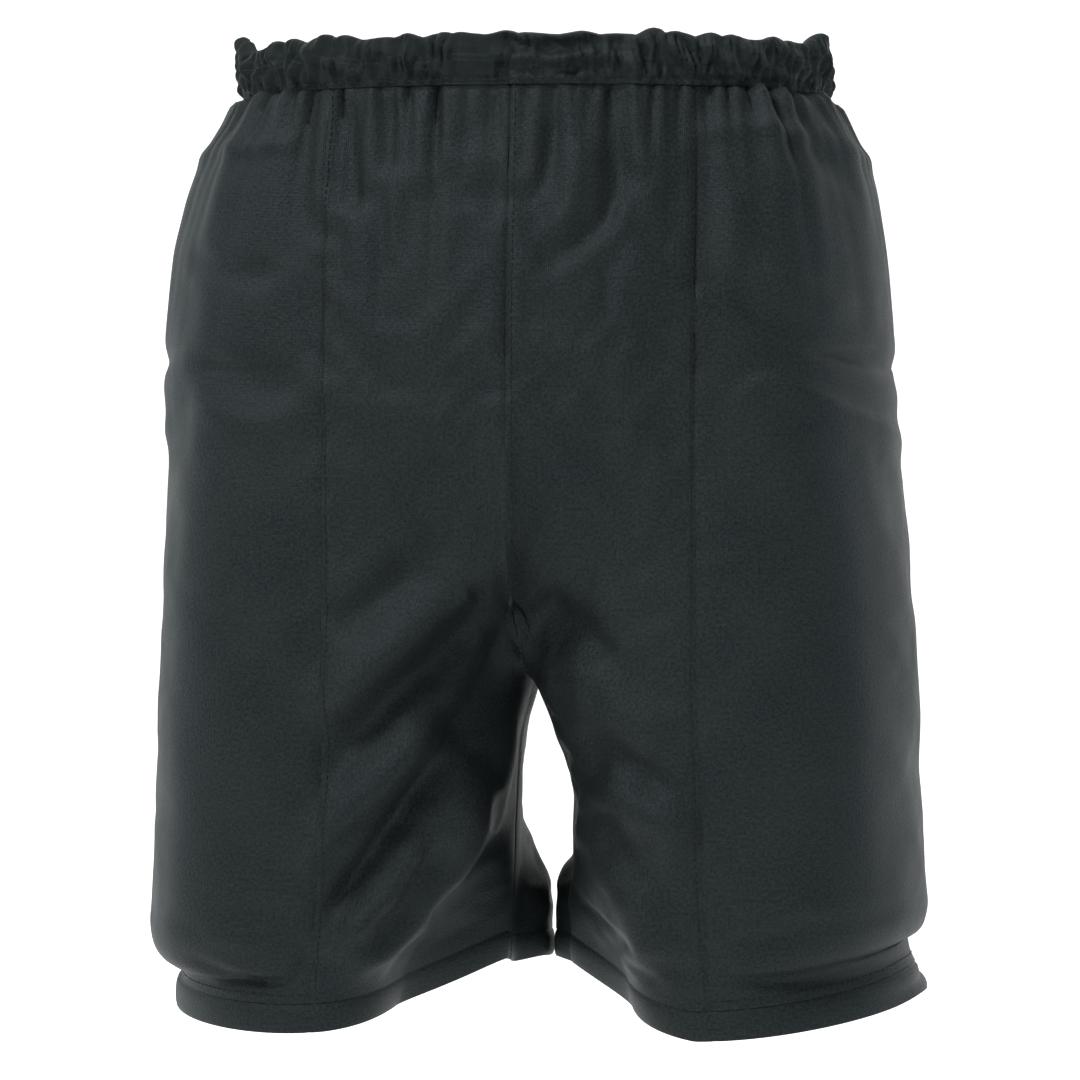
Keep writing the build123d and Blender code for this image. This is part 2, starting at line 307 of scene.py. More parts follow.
def wave(s, length, count, seed, drift=0.35):
    """Phase of an irregular wave with a whole number of waves round a loop of that length."""
    rng = np.random.default_rng(seed)
    phase = 2 * math.pi * count * s / length
    for k in range(1, 9):
        size = drift * count / 8 * rng.normal() / k**0.5
        phase = phase + size * np.sin(2 * math.pi * k * s / length + rng.uniform(0, 2 * math.pi))
    return phase + rng.uniform(0, 2 * math.pi)


def puffs(phase):
    """Rounded ridges with sharp creases between them, from 0 in a crease to 1 on a ridge."""
    return np.abs(np.sin(phase / 2)) ** 0.8


# Folds of the front, in mm across and up on the view plane through the body's axis:
# points, half width, height and lean where it has one
FRONT_FOLDS = [
    # wearer's right leg, from the fork down to the outside
    ([(-54, -243), (-76, -262), (-104, -284)], 12, -4.6, 0.1),
    ([(-14, -234), (-52, -270), (-84, -300), (-118, -332)], 13, 10.5, 0.25),
    ([(-20, -266), (-52, -297), (-81, -324), (-112, -357)], 11, -7.0, 0.1),
    ([(-46, -320), (-77, -352), (-109, -384), (-126, -402)], 10, 8.6, 0.2),
    ([(-14, -262), (-18, -290), (-30, -316), (-50, -346)], 9, -8.5),
    ([(-40, -332), (-66, -370), (-88, -402), (-111, -434)], 7, -8.4, 0.1),
    ([(-55, -376), (-81, -414), (-104, -440)], 5, 5.2, 0.1),
    ([(-50, -380), (-70, -414), (-92, -446)], 5, -4.6),
    ([(-26, -340), (-42, -384), (-66, -416), (-104, -462)], 13, 11.5, 0.2),
    # wearer's left leg
    ([(-4, -264), (14, -277), (40, -296)], 10, -3.8),
    ([(8, -284), (38, -318), (72, -338)], 14, 6.0, 0.2),
    ([(14, -328), (38, -346), (68, -362)], 9, -5.0),
    ([(27, -350), (58, -374), (82, -384)], 12, 5.8, 0.2),
    ([(24, -362), (38, -388), (54, -414)], 8, -4.4),
    ([(33, -385), (50, -425), (58, -456)], 11, 6.0),
    # hip pad on the wearer's left
    ([(96, -60), (95, -112)], 7, 1.8, 0.3),
    ([(92, -108), (113, -127), (156, -144), (178, -150)], 7, -5.0, -0.2),
    ([(100, -98), (120, -110), (160, -124)], 9, 2.0),
    ([(95, -178), (100, -166), (118, -159), (157, -176), (180, -187)], 7, 3.0, 0.2),
    # thigh pad on the wearer's left
    ([(84, -436), (105, -428), (130, -419), (165, -424)], 7, 2.4),
    ([(90, -436), (115, -436), (140, -432)], 4, -1.4),
    ([(90, -438), (95, -452), (110, -457), (157, -453), (189, -443)], 3.5, -2.6),
    # hip and thigh pads on the wearer's right
    ([(-176, -96), (-150, -104), (-126, -104)], 6, -3.2),
    ([(-176, -146), (-140, -157), (-113, -160)], 8, -3.4),
    ([(-176, -170), (-140, -178), (-115, -170)], 8, 2.0),
    ([(-180, -442), (-149, -456), (-126, -457), (-119, -446), (-118, -430)], 3.0, -2.8),
    ([(-172, -430), (-148, -436), (-128, -432)], 6, 1.6),
    # pad steps under the waist
    ([(-162, -46), (-140, -43), (-115, -42)], 5, 2.2, -0.3),
    ([(70, -36), (110, -35), (154, -40)], 5, 2.4, -0.3),
    # gathers that run far down
    ([(-105, -16), (-108, -84)], 5, 2.6, 0.2),
    ([(-93, -16), (-92, -80)], 5, -2.6),
    ([(8, -20), (4, -52), (-9, -76)], 5, -2.8),
    ([(40, -30), (34, -73), (-2, -103)], 7, -3.2, 0.2),
    ([(22, -35), (14, -70), (2, -92)], 7, 2.8),
    ([(46, -18), (50, -60)], 5, 2.0),
    ([(118, -18), (138, -44), (158, -70)], 5, -2.2),
    ([(104, -18), (120, -46), (134, -74)], 6, 1.8),
    ([(-60, -16), (-58, -70)], 6, 1.8),
    ([(-72, -16), (-74, -58)], 5, -1.8),
]
# Small wrinkles beside the right pocket's front seam: height of the place, depth and shift across
WRINKLES_BESIDE_SEAM = (
    (-364, -0.7, 4), (-380, -1.3, -3), (-393, -0.7, 6), (-405, -1.2, 0), (-427, -1.0, -5),
)

# Folds of the back, in mm across (towards the wearer's left) and up
BACK_FOLDS = [
    ([(-8, -215), (-40, -248), (-92, -262)], 11, -3.8, 0.2),
    ([(8, -218), (44, -250), (96, -268)], 11, -3.8, -0.2),
    ([(-14, -245), (-50, -283), (-105, -300)], 12, 4.2, 0.2),
    ([(16, -248), (52, -290), (100, -318)], 12, 4.0, -0.2),
    ([(-22, -285), (-60, -330), (-96, -372)], 9, -3.6),
    ([(24, -290), (58, -340), (100, -372)], 9, -3.6),
    ([(-28, -320), (-62, -372), (-84, -430)], 12, 4.4, 0.2),
    ([(28, -325), (56, -385), (70, -440)], 12, 4.4, -0.2),
    ([(-62, -26), (-56, -96)], 7, 2.4),
    ([(34, -26), (42, -90)], 7, 2.4),
    ([(-88, -26), (-92, -74)], 6, -2.0),
    ([(72, -26), (66, -80)], 6, -2.0),
    ([(108, -110), (104, -190)], 10, 1.8),
    ([(-108, -120), (-106, -200)], 10, 1.8),
]

# Folds of the outer side, in mm across (y, towards the back) and up, the same on both sides
SIDE_FOLDS = [
    ([(-70, -140), (-20, -150), (40, -153), (88, -150)], 7, -2.6),
    ([(-70, -172), (-20, -184), (40, -186), (88, -178)], 8, 1.6),
    ([(-80, -447), (0, -447), (92, -447)], 3.5, -2.4),
    ([(-60, -46), (0, -50), (70, -48)], 5, 1.8),
    ([(-30, -240), (20, -262), (70, -270)], 16, -1.6),
    ([(-60, -330), (0, -345), (50, -340)], 16, -1.4),
]

# Where the cloth may crease deeply: between, above and below the pads, in mm of height
PAD_FREE_BANDS = ((WAISTBAND_BOTTOM, -56.0), (-139.0, -154.0), (-436.0, HEM_BOTTOM))
CREASE_OVER_PAD = -2.6
CREASE_DEEPEST = -8.0
CREASE_OVER_TAILBONE = -2.0
TAILBONE_ZONE = (-56.0, -192.0)

# Waist gathers: how many waves go round, how deep they are and how far down they reach
GATHERS = ((92, 3.2, 9.0, 11), (58, 4.2, 22.0, 23), (34, 3.8, 46.0, 37), (17, 2.4, 84.0, 41))
PUFF_MIDDLE = 0.6


def planar_folds(across, up, folds):
    total = np.zeros_like(across)
    for row in folds:
        total += fold(across, up, *row)
    return total


def fold_heights(points, normals, side):
    """Outward height of the designed folds at each point of one half."""
    across, up = view_plane(points)
    total = planar_folds(across, up, FRONT_FOLDS)
    for height, depth, shift in WRINKLES_BESIDE_SEAM:
        total += fold(across, up, [(-140 + shift, height + 5), (-116 + shift, height)], 3.6, depth)
    total *= smooth((0.12 - normals[..., 1]) / 0.35)
    behind = planar_folds(points[..., 0], points[..., 2], BACK_FOLDS)
    total += behind * smooth((normals[..., 1] - 0.1) / 0.4)
    beside = planar_folds(points[..., 1], points[..., 2], SIDE_FOLDS)
    total += beside * smooth((normals[..., 0] * side - 0.45) / 0.4)
    return total


# The waist's girth, as distance round it from the centre front towards the wearer's left

def waist_table():
    u = np.linspace(0, 1, 801)
    x, y = outline(u, np.full_like(u, WAISTBAND_BOTTOM))
    return u, np.r_[0, np.cumsum(np.hypot(np.diff(x), np.diff(y)))]


WAIST_U, WAIST_ARC = waist_table()
WAIST_GIRTH = 2 * WAIST_ARC[-1]


def waist_place(u, side):
    """Distance round the waist at u on one side."""
    arc = np.interp(u, WAIST_U, WAIST_ARC)
    return arc if side > 0 else WAIST_GIRTH - arc


def waist_loop(count):
    """Even steps round the waist: the distance run, the side and u."""
    s = np.linspace(0, WAIST_GIRTH, count, endpoint=False)
    side = np.where(s <= WAIST_GIRTH / 2, 1, -1)
    return s, side, np.interp(np.where(side > 0, s, WAIST_GIRTH - s), WAIST_ARC, WAIST_U)


def signed_place(s):
    """Distance round the waist from the centre front, positive on the wearer's left."""
    return np.where(s > WAIST_GIRTH / 2, s - WAIST_GIRTH, s)


def gather_strength(s):
    """How strongly the cloth is gathered at each place round the waist."""
    place = signed_place(s)
    flat = 0.75 * bell(place + 17, 11)
    eased = 0.45 * bell(place - 20, 20)
    strong = 0.35 * bell(place + 112, 26)
    strong += 0.3 * bell(place - 132, 24)
    return 1 - flat - eased + strong


def gather_heights(s, below):
    """Outward height of the waist gathers at a distance below the casing's stitch line."""
    total = np.zeros_like(below)
    for count, height, reach, seed in GATHERS:
        phase = wave(s, WAIST_GIRTH, count, seed)
        total += height * (puffs(phase) - PUFF_MIDDLE) * np.exp(-below / reach)
    dip = 0.9 * bell(below, 2.0)
    return total * gather_strength(s) * smooth(below / 6 + 0.45) - dip


# How each leg leans away from the middle below the fork: in front, at the inseam and behind
PARTING_HEIGHTS = (-466, -430, -400, -375, -359, -344, -330, -315, -300)
PARTING = {
    1: (
        (48, 38, 23, 18, 20, 17, 12, 7, 0),
        (12, 10, 14, 17, 18, 15, 11, 6, 0),
        (-46, -40, -10, 0, 0, 0, 0, 0, 0),
    ),
    -1: (
        (60, 44, 26, 12, 5, 1, 0, 0, 0),
        (10, 8, 8, 9, 9, 9, 8, 4, 0),
        (-46, -34, -9, 4, 8, 8, 8, 5, 0),
    ),
}
# How far the outer sides stand off the plain form, by height
LEAN_HEIGHTS = (-462, -444, -425, -270, -241, -211, -181, -152, -122, -92, -63, -33, -11)
LEAN = {
    1: (9, 1, 0, 0, -1, -3, -5, -4, -5, -4.5, -5, -7.5, -6.5),
    -1: (-2.5, -1, 0, 0, 0.5, 0.5, 1.5, 6, 5, 5, 2, -3, 0),
}
LEG_CLEARANCE = 1.5
HEM_RISE_FRONT = 38.0
HEM_RISE_BACK = 13.0
HEM_RISE_OUTSIDE = {1: 15.0, -1: 2.0}
FRONT_WAIST_RISE = 4.0
TABLE_BLUR = 7.0


def rounded_table(z, heights, values):
    """A value looked up by height, with the corners between its steps rounded off."""
    fine = np.arange(HEM_BOTTOM - 30, 31.0)
    kernel = bell(np.arange(-24, 25), TABLE_BLUR)
    straight = np.interp(fine, heights, values)
    padded_row = np.pad(straight, 24, mode="edge")
    rounded = np.convolve(padded_row, kernel / kernel.sum(), mode="valid")
    return np.interp(z, fine, rounded)


def warp(points, side):
    """Turns the plain body form into these shorts: legs part in front and meet behind."""
    x, y, z = points[..., 0] * side, points[..., 1], points[..., 2]
    outward = x / section(z, 1)
    inward = np.clip(1 - outward, 0, 1)
    front, middle, back = (rounded_table(z, PARTING_HEIGHTS, row) for row in PARTING[side])
    forward = smooth((-5 - y) / 55)
    rear = smooth((y - 16) / 48)
    parting = forward * front + rear * back + (1 - forward - rear) * middle
    lean = rounded_table(z, LEAN_HEIGHTS, LEAN[side]) * np.clip(outward, 0, 1.2) ** 2
    moved_x = x + parting * inward**3 + lean
    soft = at_least(moved_x, LEG_CLEARANCE, 4)
    limited = moved_x + (soft - moved_x) * smooth((-340 - z) / 60)
    low = smooth((-385 - z) / 70)
    behind = smooth((y + 45) / 110)
    moved_inward = np.clip(1 - limited / section(z, 1), 0, 1)
    rise = (HEM_RISE_BACK * behind + HEM_RISE_FRONT * (1 - behind)) * moved_inward**4
    edge = np.clip(outward * 1.7 - 0.7, 0, 1)
    rise = rise + HEM_RISE_OUTSIDE[side] * edge * smooth((105 - y) / 150)
    waist_rise = FRONT_WAIST_RISE * smooth((z + 75) / 60) * smooth((20 - y) / 90)
    return np.stack([limited * side, y, z + rise * low + waist_rise], -1)


def garment_points(u, z, offset, side):
    """Points of one side, or of both where side is an array, at an offset from the body."""
    points = on_body(u, z, offset)
    points[..., 0] *= side
    if np.isscalar(side):
        return warp(points, side)
    return np.where((side > 0)[..., None], warp(points, 1), warp(points, -1))


class Garment:
    """Outer cloth of one half: a grid of columns front to back and rows top to bottom."""

    def __init__(self, side):
        self.side = side
        self.label = "left" if side > 0 else "right"
        rows = int(round((WAISTBAND_BOTTOM - HEM_BOTTOM) / ROW_STEP)) + 1
        self.heights = np.linspace(WAISTBAND_BOTTOM, HEM_BOTTOM, rows)
        front = seam_u(FRONT_SEAM_X, self.heights, False)
        back = seam_u(BACK_SEAM_X, self.heights, True)
        counts = (COLUMNS_FRONT, COLUMNS_SIDE, COLUMNS_BACK)
        share = [np.linspace(0, 1, n + 1)[:, None] for n in counts]
        parts = [share[0] * front, front + share[1] * (back - front), back + share[2] * (1 - back)]
        self.u = np.vstack([parts[0], parts[1][1:], parts[2][1:]])
        self.z = np.broadcast_to(self.heights, self.u.shape).copy()
        self.front = np.broadcast_to(front, self.u.shape)
        self.back = np.broadcast_to(back, self.u.shape)
        self.bulge = pocket_bulge(self.u, self.z, self.front, self.back, side)
        self.shape(0.0)

    def shape(self, settled):
        fullness = self.bulge + POCKET_FULLNESS * round_step(self.bulge / 3)
        base = garment_points(self.u, self.z, fullness, self.side)
        normals = grid_normals(base) * self.side
        normals[0, self.heights > CROTCH - 2, 0] = 0
        normals[-1, self.heights > CROTCH - 2, 0] = 0
        self.relief = fold_heights(base, normals, self.side) + settled
        waist = waist_place(self.u[:, :1], self.side)
        self.relief += gather_heights(waist, WAISTBAND_BOTTOM - self.z)
        self.relief = self.clear_of_pads(self.relief) + self.seam_grooves()
        self.points = base + normals * self.relief[..., None]
        self.normals = grid_normals(self.points) * self.side

    def clear_of_pads(self, relief):
        """Creases go no deeper than the pads and their slides leave room for."""
        deepest = np.full_like(relief, CREASE_OVER_PAD)
        for top, bottom in PAD_FREE_BANDS:
            inside = smooth((top - self.z) / 5) * smooth((self.z - bottom) / 5)
            band = CREASE_OVER_PAD + (CREASE_DEEPEST - CREASE_OVER_PAD) * inside
            deepest = np.minimum(deepest, band)
        limited = at_least(relief, deepest, 1.2)
        relief = relief + (limited - relief) * round_step(self.bulge / 4)
        limited = at_least(relief, CREASE_OVER_TAILBONE, 0.5)
        top, bottom = TAILBONE_ZONE
        share = smooth((self.u - 0.84) / 0.03)
        share = share * smooth((top - self.z) / 8) * smooth((self.z - bottom) / 8)
        return relief + (limited - relief) * share

    def seam_grooves(self):
        """The cloth dips into each long seam."""
        groove = np.zeros_like(self.u)
        for edge, depth in ((0.0, 1.0), (self.front, 0.7), (self.back, 0.7), (1.0, 1.0)):
            distance = np.abs(self.u - edge) * MM_PER_U
            groove -= depth * bell(distance, 1.7)
        return groove

    def columns(self, name):
        first = {"front": 0, "side": COLUMNS_FRONT, "back": COLUMNS_FRONT + COLUMNS_SIDE}[name]
        count = {"front": COLUMNS_FRONT, "side": COLUMNS_SIDE, "back": COLUMNS_BACK}[name]
        return slice(first, first + count + 1)

    def rows(self, top, bottom):
        low = int(np.argmin(np.abs(self.heights - top)))
        high = int(np.argmin(np.abs(self.heights - bottom)))
        return slice(low, high + 1)


def make_object(name, vertices, faces, uvs=None, solid=True):
    """A mesh object from points in mm, smooth shaded, with a UV map in metres of cloth."""
    mesh = bpy.data.meshes.new(name)
    mesh.from_pydata((np.asarray(vertices) * MM).tolist(), [], faces)
    mesh.polygons.foreach_set("use_smooth", [True] * len(mesh.polygons))
    if uvs is not None:
        layer = mesh.uv_layers.new(name="cloth")
        corner = np.zeros(len(mesh.loops), np.int32)
        mesh.loops.foreach_get("vertex_index", corner)
        layer.data.foreach_set("uv", (np.asarray(uvs)[corner] * MM).ravel())
    mesh.validate()
    if solid:
        work = bmesh.new()
        work.from_mesh(mesh)
        bmesh.ops.recalc_face_normals(work, faces=work.faces)
        work.to_mesh(mesh)
        work.free()
    mesh.set_sharp_from_angle(angle=math.radians(65))
    piece = bpy.data.objects.new(name, mesh)
    bpy.context.scene.collection.objects.link(piece)
    return piece


def grid_faces(columns, rows, start=0, flip=False, closed=False):
    faces = []
    for i in range(columns if closed else columns - 1):
        j = (i + 1) % columns
        for k in range(rows - 1):
            a, b = start + i * rows + k, start + j * rows + k
            face = (a, a + 1, b + 1, b)
            faces.append(face[::-1] if flip else face)
    return faces


def cloth_uvs(points, anchor=0, upright=True):
    """Distance along the cloth in mm at each point: across from the anchor column, and down."""
    across = np.linalg.norm(np.diff(points, axis=0), axis=-1)
    u = np.vstack([np.zeros((1, points.shape[1])), np.cumsum(across, 0)])
    u -= u[anchor]
    if upright:
        return np.stack([u, points[..., 2]], -1)
    down = np.linalg.norm(np.diff(points, axis=1), axis=-1)
    v = np.hstack([np.zeros((points.shape[0], 1)), np.cumsum(down, 1)])
    return np.stack([u, -v], -1)


def sheet_object(name, outer, inner, flip, closed=False, anchor=0, upright=True):
    """A closed sheet of cloth between two grids of points."""
    columns, rows = outer.shape[:2]
    size = columns * rows
    faces = grid_faces(columns, rows, 0, flip, closed)
    faces += grid_faces(columns, rows, size, not flip, closed)
    rims = [[i * rows for i in range(columns)], [i * rows + rows - 1 for i in range(columns)]]
    turns = [False, True]
    if not closed:
        rims += [list(range(rows)), list(range(size - rows, size))]
        turns += [True, False]
    for rim, turn in zip(rims, turns):
        pairs = list(zip(rim, rim[1:] + ([rim[0]] if closed else [])))
        for a, b in pairs:
            face = (a, b, b + size, a + size)
            faces.append(face[::-1] if turn != flip else face)
    vertices = np.vstack([outer.reshape(-1, 3), inner.reshape(-1, 3)])
    uvs = cloth_uvs(outer, anchor, upright).reshape(-1, 2)
    return make_object(name, vertices, faces, np.vstack([uvs, uvs]))


# Materials

class Shader:
    """A material under construction: adds nodes and joins them up."""

    def __init__(self, name, roughness, **constants):
        self.material = bpy.data.materials.new(name)
        self.material.use_nodes = True
        self.tree = self.material.node_tree
        self.main = self.tree.nodes["Principled BSDF"]
        self.main.inputs["Roughness"].default_value = roughness
        for socket, value in constants.items():
            self.main.inputs[socket.replace("_", " ")].default_value = value

    def add(self, kind, inputs=(), output=0, **settings):
        node = self.tree.nodes.new(kind)
        for key, value in settings.items():
            setattr(node, key, value)
        for socket, value in dict(inputs).items():
            if isinstance(value, bpy.types.NodeSocket):
                self.tree.links.new(value, node.inputs[socket])
            else:
                node.inputs[socket].default_value = value
        return node.outputs[output]

    def place(self, source):
        """Where on the piece: along the cloth in metres, or in the piece's own space."""
        if source == "cloth":
            return self.add("ShaderNodeUVMap", uv_map="cloth")
        return self.add("ShaderNodeTexCoord", output="Object")

    def noise(self, where, size_mm, detail=2.0, roughness=0.5):
        inputs = {"Vector": where, "Scale": 1 / (size_mm * MM), "Detail": detail}
        return self.add("ShaderNodeTexNoise", {**inputs, "Roughness": roughness})

    def bands(self, where, pitch_mm, direction, distortion=0.0):
        inputs = {"Vector": where, "Scale": 100 * math.pi / pitch_mm, "Distortion": distortion}
        return self.add("ShaderNodeTexWave", inputs, 1, bands_direction=direction)

    def sum(self, a, b, operation="ADD"):
        return self.add("ShaderNodeMath", {0: a, 1: b}, operation=operation)

    def span(self, value, low, high, from_low=0.3, from_high=0.7):
        inputs = {"Value": value, "From Min": from_low, "From Max": from_high}
        return self.add("ShaderNodeMapRange", {**inputs, "To Min": low, "To Max": high})

    def mix(self, factor, a, b):
        node = self.tree.nodes.new("ShaderNodeMix")
        node.data_type = "RGBA"
        self.tree.links.new(factor, node.inputs["Factor"])
        for socket, value in ((6, a), (7, b)):
            if isinstance(value, bpy.types.NodeSocket):
                self.tree.links.new(value, node.inputs[socket])
            else:
                node.inputs[socket].default_value = (*value, 1)
        return node.outputs[2]

    def finish(self, colour, height, bump_mm, strength, roughness=None):
        self.tree.links.new(colour, self.main.inputs["Base Color"])
        inputs = {"Strength": strength, "Distance": bump_mm * MM, "Height": height}
        self.tree.links.new(self.add("ShaderNodeBump", inputs), self.main.inputs["Normal"])
        if roughness is not None:
            self.tree.links.new(roughness, self.main.inputs["Roughness"])
        return self.material


KNIT_DARK = (0.0026, 0.0042, 0.0047)
KNIT_LIGHT = (0.0158, 0.0186, 0.0192)


def knit_material():
    """Fine warp knit: narrow wales under a speckled, slightly fuzzy face with soft patches."""
    shader = Shader("shell_knit", 0.5, Specular_IOR_Level=0.13, Sheen_Weight=0.010,
                    Sheen_Roughness=0.35, Sheen_Tint=(0.5, 0.8, 0.85, 1),
                    Specular_Tint=(0.72, 0.93, 1, 1))
    cloth = shader.place("cloth")
    wales = shader.bands(cloth, 0.9, "X", 2.0)
    courses = shader.bands(cloth, 0.7, "Y", 2.0)
    fuzz = shader.noise(cloth, 1.3, 3.0, 0.6)
    height = shader.sum(shader.sum(wales, 0.25, "MULTIPLY"), shader.sum(courses, 0.2, "MULTIPLY"))
    height = shader.sum(height, shader.sum(fuzz, 1.6, "MULTIPLY"))
    patches = shader.noise(cloth, 46.0, 4.0, 0.6)
    grain = shader.noise(cloth, 1.5, 3.0, 0.8)
    share = shader.sum(shader.span(patches, 0.0, 0.3), shader.span(grain, 0.0, 0.7, 0.4, 0.6))
    colour = shader.mix(share, KNIT_DARK, KNIT_LIGHT)
    rough = shader.span(patches, 0.42, 0.56)
    return shader.finish(colour, height, 0.35, 0.75, rough)


def mesh_material():
    """Open warp-knit lining: rows of small eyelets, painted near black as shade in the holes."""
    shader = Shader("lining_mesh", 0.7, Specular_IOR_Level=0.25, Sheen_Weight=0.1)
    cloth = shader.place("cloth")
    inputs = {"Vector": cloth, "Scale": 480.0, "Randomness": 0.12}
    eyelets = shader.add("ShaderNodeTexVoronoi", inputs)
    eyelet_depth_and_painted_shade = shader.span(eyelets, 0.0, 1.0, 0.12, 0.42)
    # Near black in the eyelets: painted shade in the holes, which the solid sheet doesn't open.
    colour = shader.mix(eyelet_depth_and_painted_shade, (0.003, 0.003, 0.003), (0.030, 0.032, 0.033))
    return shader.finish(colour, eyelet_depth_and_painted_shade, 0.4, 0.9)


def elastic_material():
    """Braided elastic: ribs along its length and a fine weave across."""
    shader = Shader("elastic", 0.6, Specular_IOR_Level=0.3)
    cloth = shader.place("cloth")
    ribs = shader.bands(cloth, 1.6, "Y")
    weave = shader.bands(cloth, 0.9, "DIAGONAL")
    height = shader.sum(ribs, shader.sum(weave, 0.4, "MULTIPLY"))
    # Colour follows the ribs' height, darker in their grooves: painted shade.
    colour = shader.mix(ribs, (0.45, 0.45, 0.44), (0.66, 0.66, 0.64))
    return shader.finish(colour, height, 0.4, 0.8)


def thread_material():
    """Twisted sewing thread."""
    shader = Shader("thread", 0.5, Specular_IOR_Level=0.15)
    place = shader.place("object")
    twist_and_painted_shade = shader.bands(place, 0.35, "DIAGONAL", 0.5)
    # Darker between the turns of the twist: painted shade in the grooves.
    colour = shader.mix(twist_and_painted_shade, (0.004, 0.0055, 0.006), (0.013, 0.0155, 0.016))
    return shader.finish(colour, twist_and_painted_shade, 0.08, 0.6)


def foam_material():
    """Closed-cell foam with a fine skin and small pores."""
    shader = Shader("pad_foam", 0.75, Specular_IOR_Level=0.3)
    place = shader.place("object")
    cells = shader.add("ShaderNodeTexVoronoi", {"Vector": place, "Scale": 900.0})
    pores = shader.span(cells, 0.0, 1.0, 0.05, 0.35)
    cloudy = shader.noise(place, 22.0, 4.0)
    skin = shader.span(cloudy, 0.0, 1.0)
    colour = shader.mix(skin, (0.040, 0.043, 0.046), (0.075, 0.079, 0.083))
    # The pores are painted darker than the skin: painted shade in the small cells.
    colour = shader.mix(pores, (0.02, 0.021, 0.022), colour)
    rough = shader.span(cloudy, 0.65, 0.85)
    return shader.finish(colour, shader.sum(pores, cloudy), 0.35, 0.7, rough)


def label_material():
    """Woven satin tape without any print."""
    shader = Shader("label_tape", 0.35, Specular_IOR_Level=0.5, Sheen_Weight=0.2)
    cloth = shader.place("cloth")
    weave = shader.sum(shader.bands(cloth, 0.4, "X"), shader.bands(cloth, 0.25, "Y"))
    dirt = shader.span(shader.noise(cloth, 12.0, 3.0), 0.0, 1.0)
    colour = shader.mix(dirt, (0.70, 0.70, 0.68), (0.80, 0.80, 0.78))
    return shader.finish(colour, weave, 0.1, 0.5)


MATERIALS = {
    "shell_knit": knit_material(),
    "lining_mesh": mesh_material(),
    "elastic": elastic_material(),
    "thread": thread_material(),
    "pad_foam": foam_material(),
    "label_tape": label_material(),
}

halves = [Garment(1), Garment(-1)]

# Cloth simulation of the whole shell: how coarse, how long, and how firmly it is held
SETTLE_STEP = 4
SETTLE_FRAMES = 14
SETTLE_WELD = 0.8
HOLD = 0.25
HOLD_SEAM = 0.6
SETTLE_CAP = 2.4
SETTLE_BROAD = 24


def shell_mesh(grids):
    """Both halves of the shell as one welded mesh in metres."""
    work = bmesh.new()
    for half, grid in zip(halves, grids):
        columns, rows = grid.shape[:2]
        vertices = [work.verts.new(point) for point in (grid.reshape(-1, 3) * MM).tolist()]
        for face in grid_faces(columns, rows, 0, half.side < 0):
            work.faces.new([vertices[i] for i in face])
    bmesh.ops.remove_doubles(work, verts=work.verts, dist=SETTLE_WELD * MM)
    mesh = bpy.data.meshes.new("settling_shell")
    work.to_mesh(mesh)
    work.free()
    return mesh


def coordinates(mesh):
    flat = np.empty(len(mesh.vertices) * 3, np.float32)
    mesh.vertices.foreach_get("co", flat)
    return flat.reshape(-1, 3).astype(float)


def settle_cloth():
    """Lets the shell's cloth settle under slight pressure and slack, and keeps the wrinkles."""
    grids = [half.points[::SETTLE_STEP, ::SETTLE_STEP] for half in halves]
    mesh = shell_mesh(grids)
    piece = bpy.data.objects.new("settling_shell", mesh)
    bpy.context.scene.collection.objects.link(piece)
    start = coordinates(mesh)
    tree = KDTree(len(start))
    for i, point in enumerate(start):
        tree.insert(point, i)
    tree.balance()
    places = [
        np.array([tree.find(p)[1] for p in (grid.reshape(-1, 3) * MM).tolist()]) for grid in grids
    ]
    hold = np.full(len(start), HOLD)
    for grid, place in zip(grids, places):
        table = place.reshape(grid.shape[:2])
        seams = [0, -1, *(round(n / SETTLE_STEP) for n in SEAM_COLUMNS)]
        hold[table[seams].ravel()] = HOLD_SEAM
        hold[table[:, [0, -1, -2, -3]].ravel()] = 1.0
    group = piece.vertex_groups.new(name="held")
    for i, weight in enumerate(hold):
        group.add([i], float(weight), "REPLACE")
    modifier = piece.modifiers.new("settle", "CLOTH")
    cloth = modifier.settings
    cloth.vertex_group_mass = "held"
    cloth.quality = 6
    cloth.mass = 0.2
    cloth.tension_stiffness = 12
    cloth.compression_stiffness = 12
    cloth.shear_stiffness = 6
    cloth.bending_stiffness = 0.4
    cloth.pin_stiffness = 1.0
    cloth.shrink_min = -0.035
    cloth.use_pressure = True
    cloth.uniform_pressure_force = 0.6
    modifier.collision_settings.use_collision = False
    modifier.collision_settings.use_self_collision = False
    for frame in range(1, SETTLE_FRAMES + 1):
        bpy.context.scene.frame_set(frame)
    settled = piece.evaluated_get(bpy.context.evaluated_depsgraph_get())
    moved = (coordinates(settled.data) - start) / MM
    bpy.context.scene.frame_set(1)
    bpy.data.objects.remove(piece)
    for half, grid, place in zip(halves, grids, places):
        shift = moved[place].reshape(grid.shape)
        out = (shift * half.normals[::SETTLE_STEP, ::SETTLE_STEP]).sum(-1)
        wrinkles = out - rounded_grid(out, SETTLE_BROAD)
        wrinkles = SETTLE_CAP * np.tanh(wrinkles / SETTLE_CAP)
        half.shape(finer(wrinkles, half.u.shape) * settle_share(half))


def settle_share(half):
    """The settled wrinkles count less over the pads, which fill the cloth, and along the inseam."""
    over_pads = round_step(half.bulge / 4)
    by_inseam = bell(np.minimum(half.u, 1 - half.u), 0.07)
    by_inseam = by_inseam * smooth((-190 - half.z) / 60)
    return (1 - 0.75 * over_pads) * (1 - 0.85 * by_inseam)


def rounded_grid(values, rounds):
    """A grid of values with its bumps rounded off."""
    for _ in range(rounds):
        edge = np.pad(values, 1, mode="edge")
        near = edge[:-2, 1:-1] + edge[2:, 1:-1] + edge[1:-1, :-2] + edge[1:-1, 2:]
        values = near / 8 + values / 2
    return values


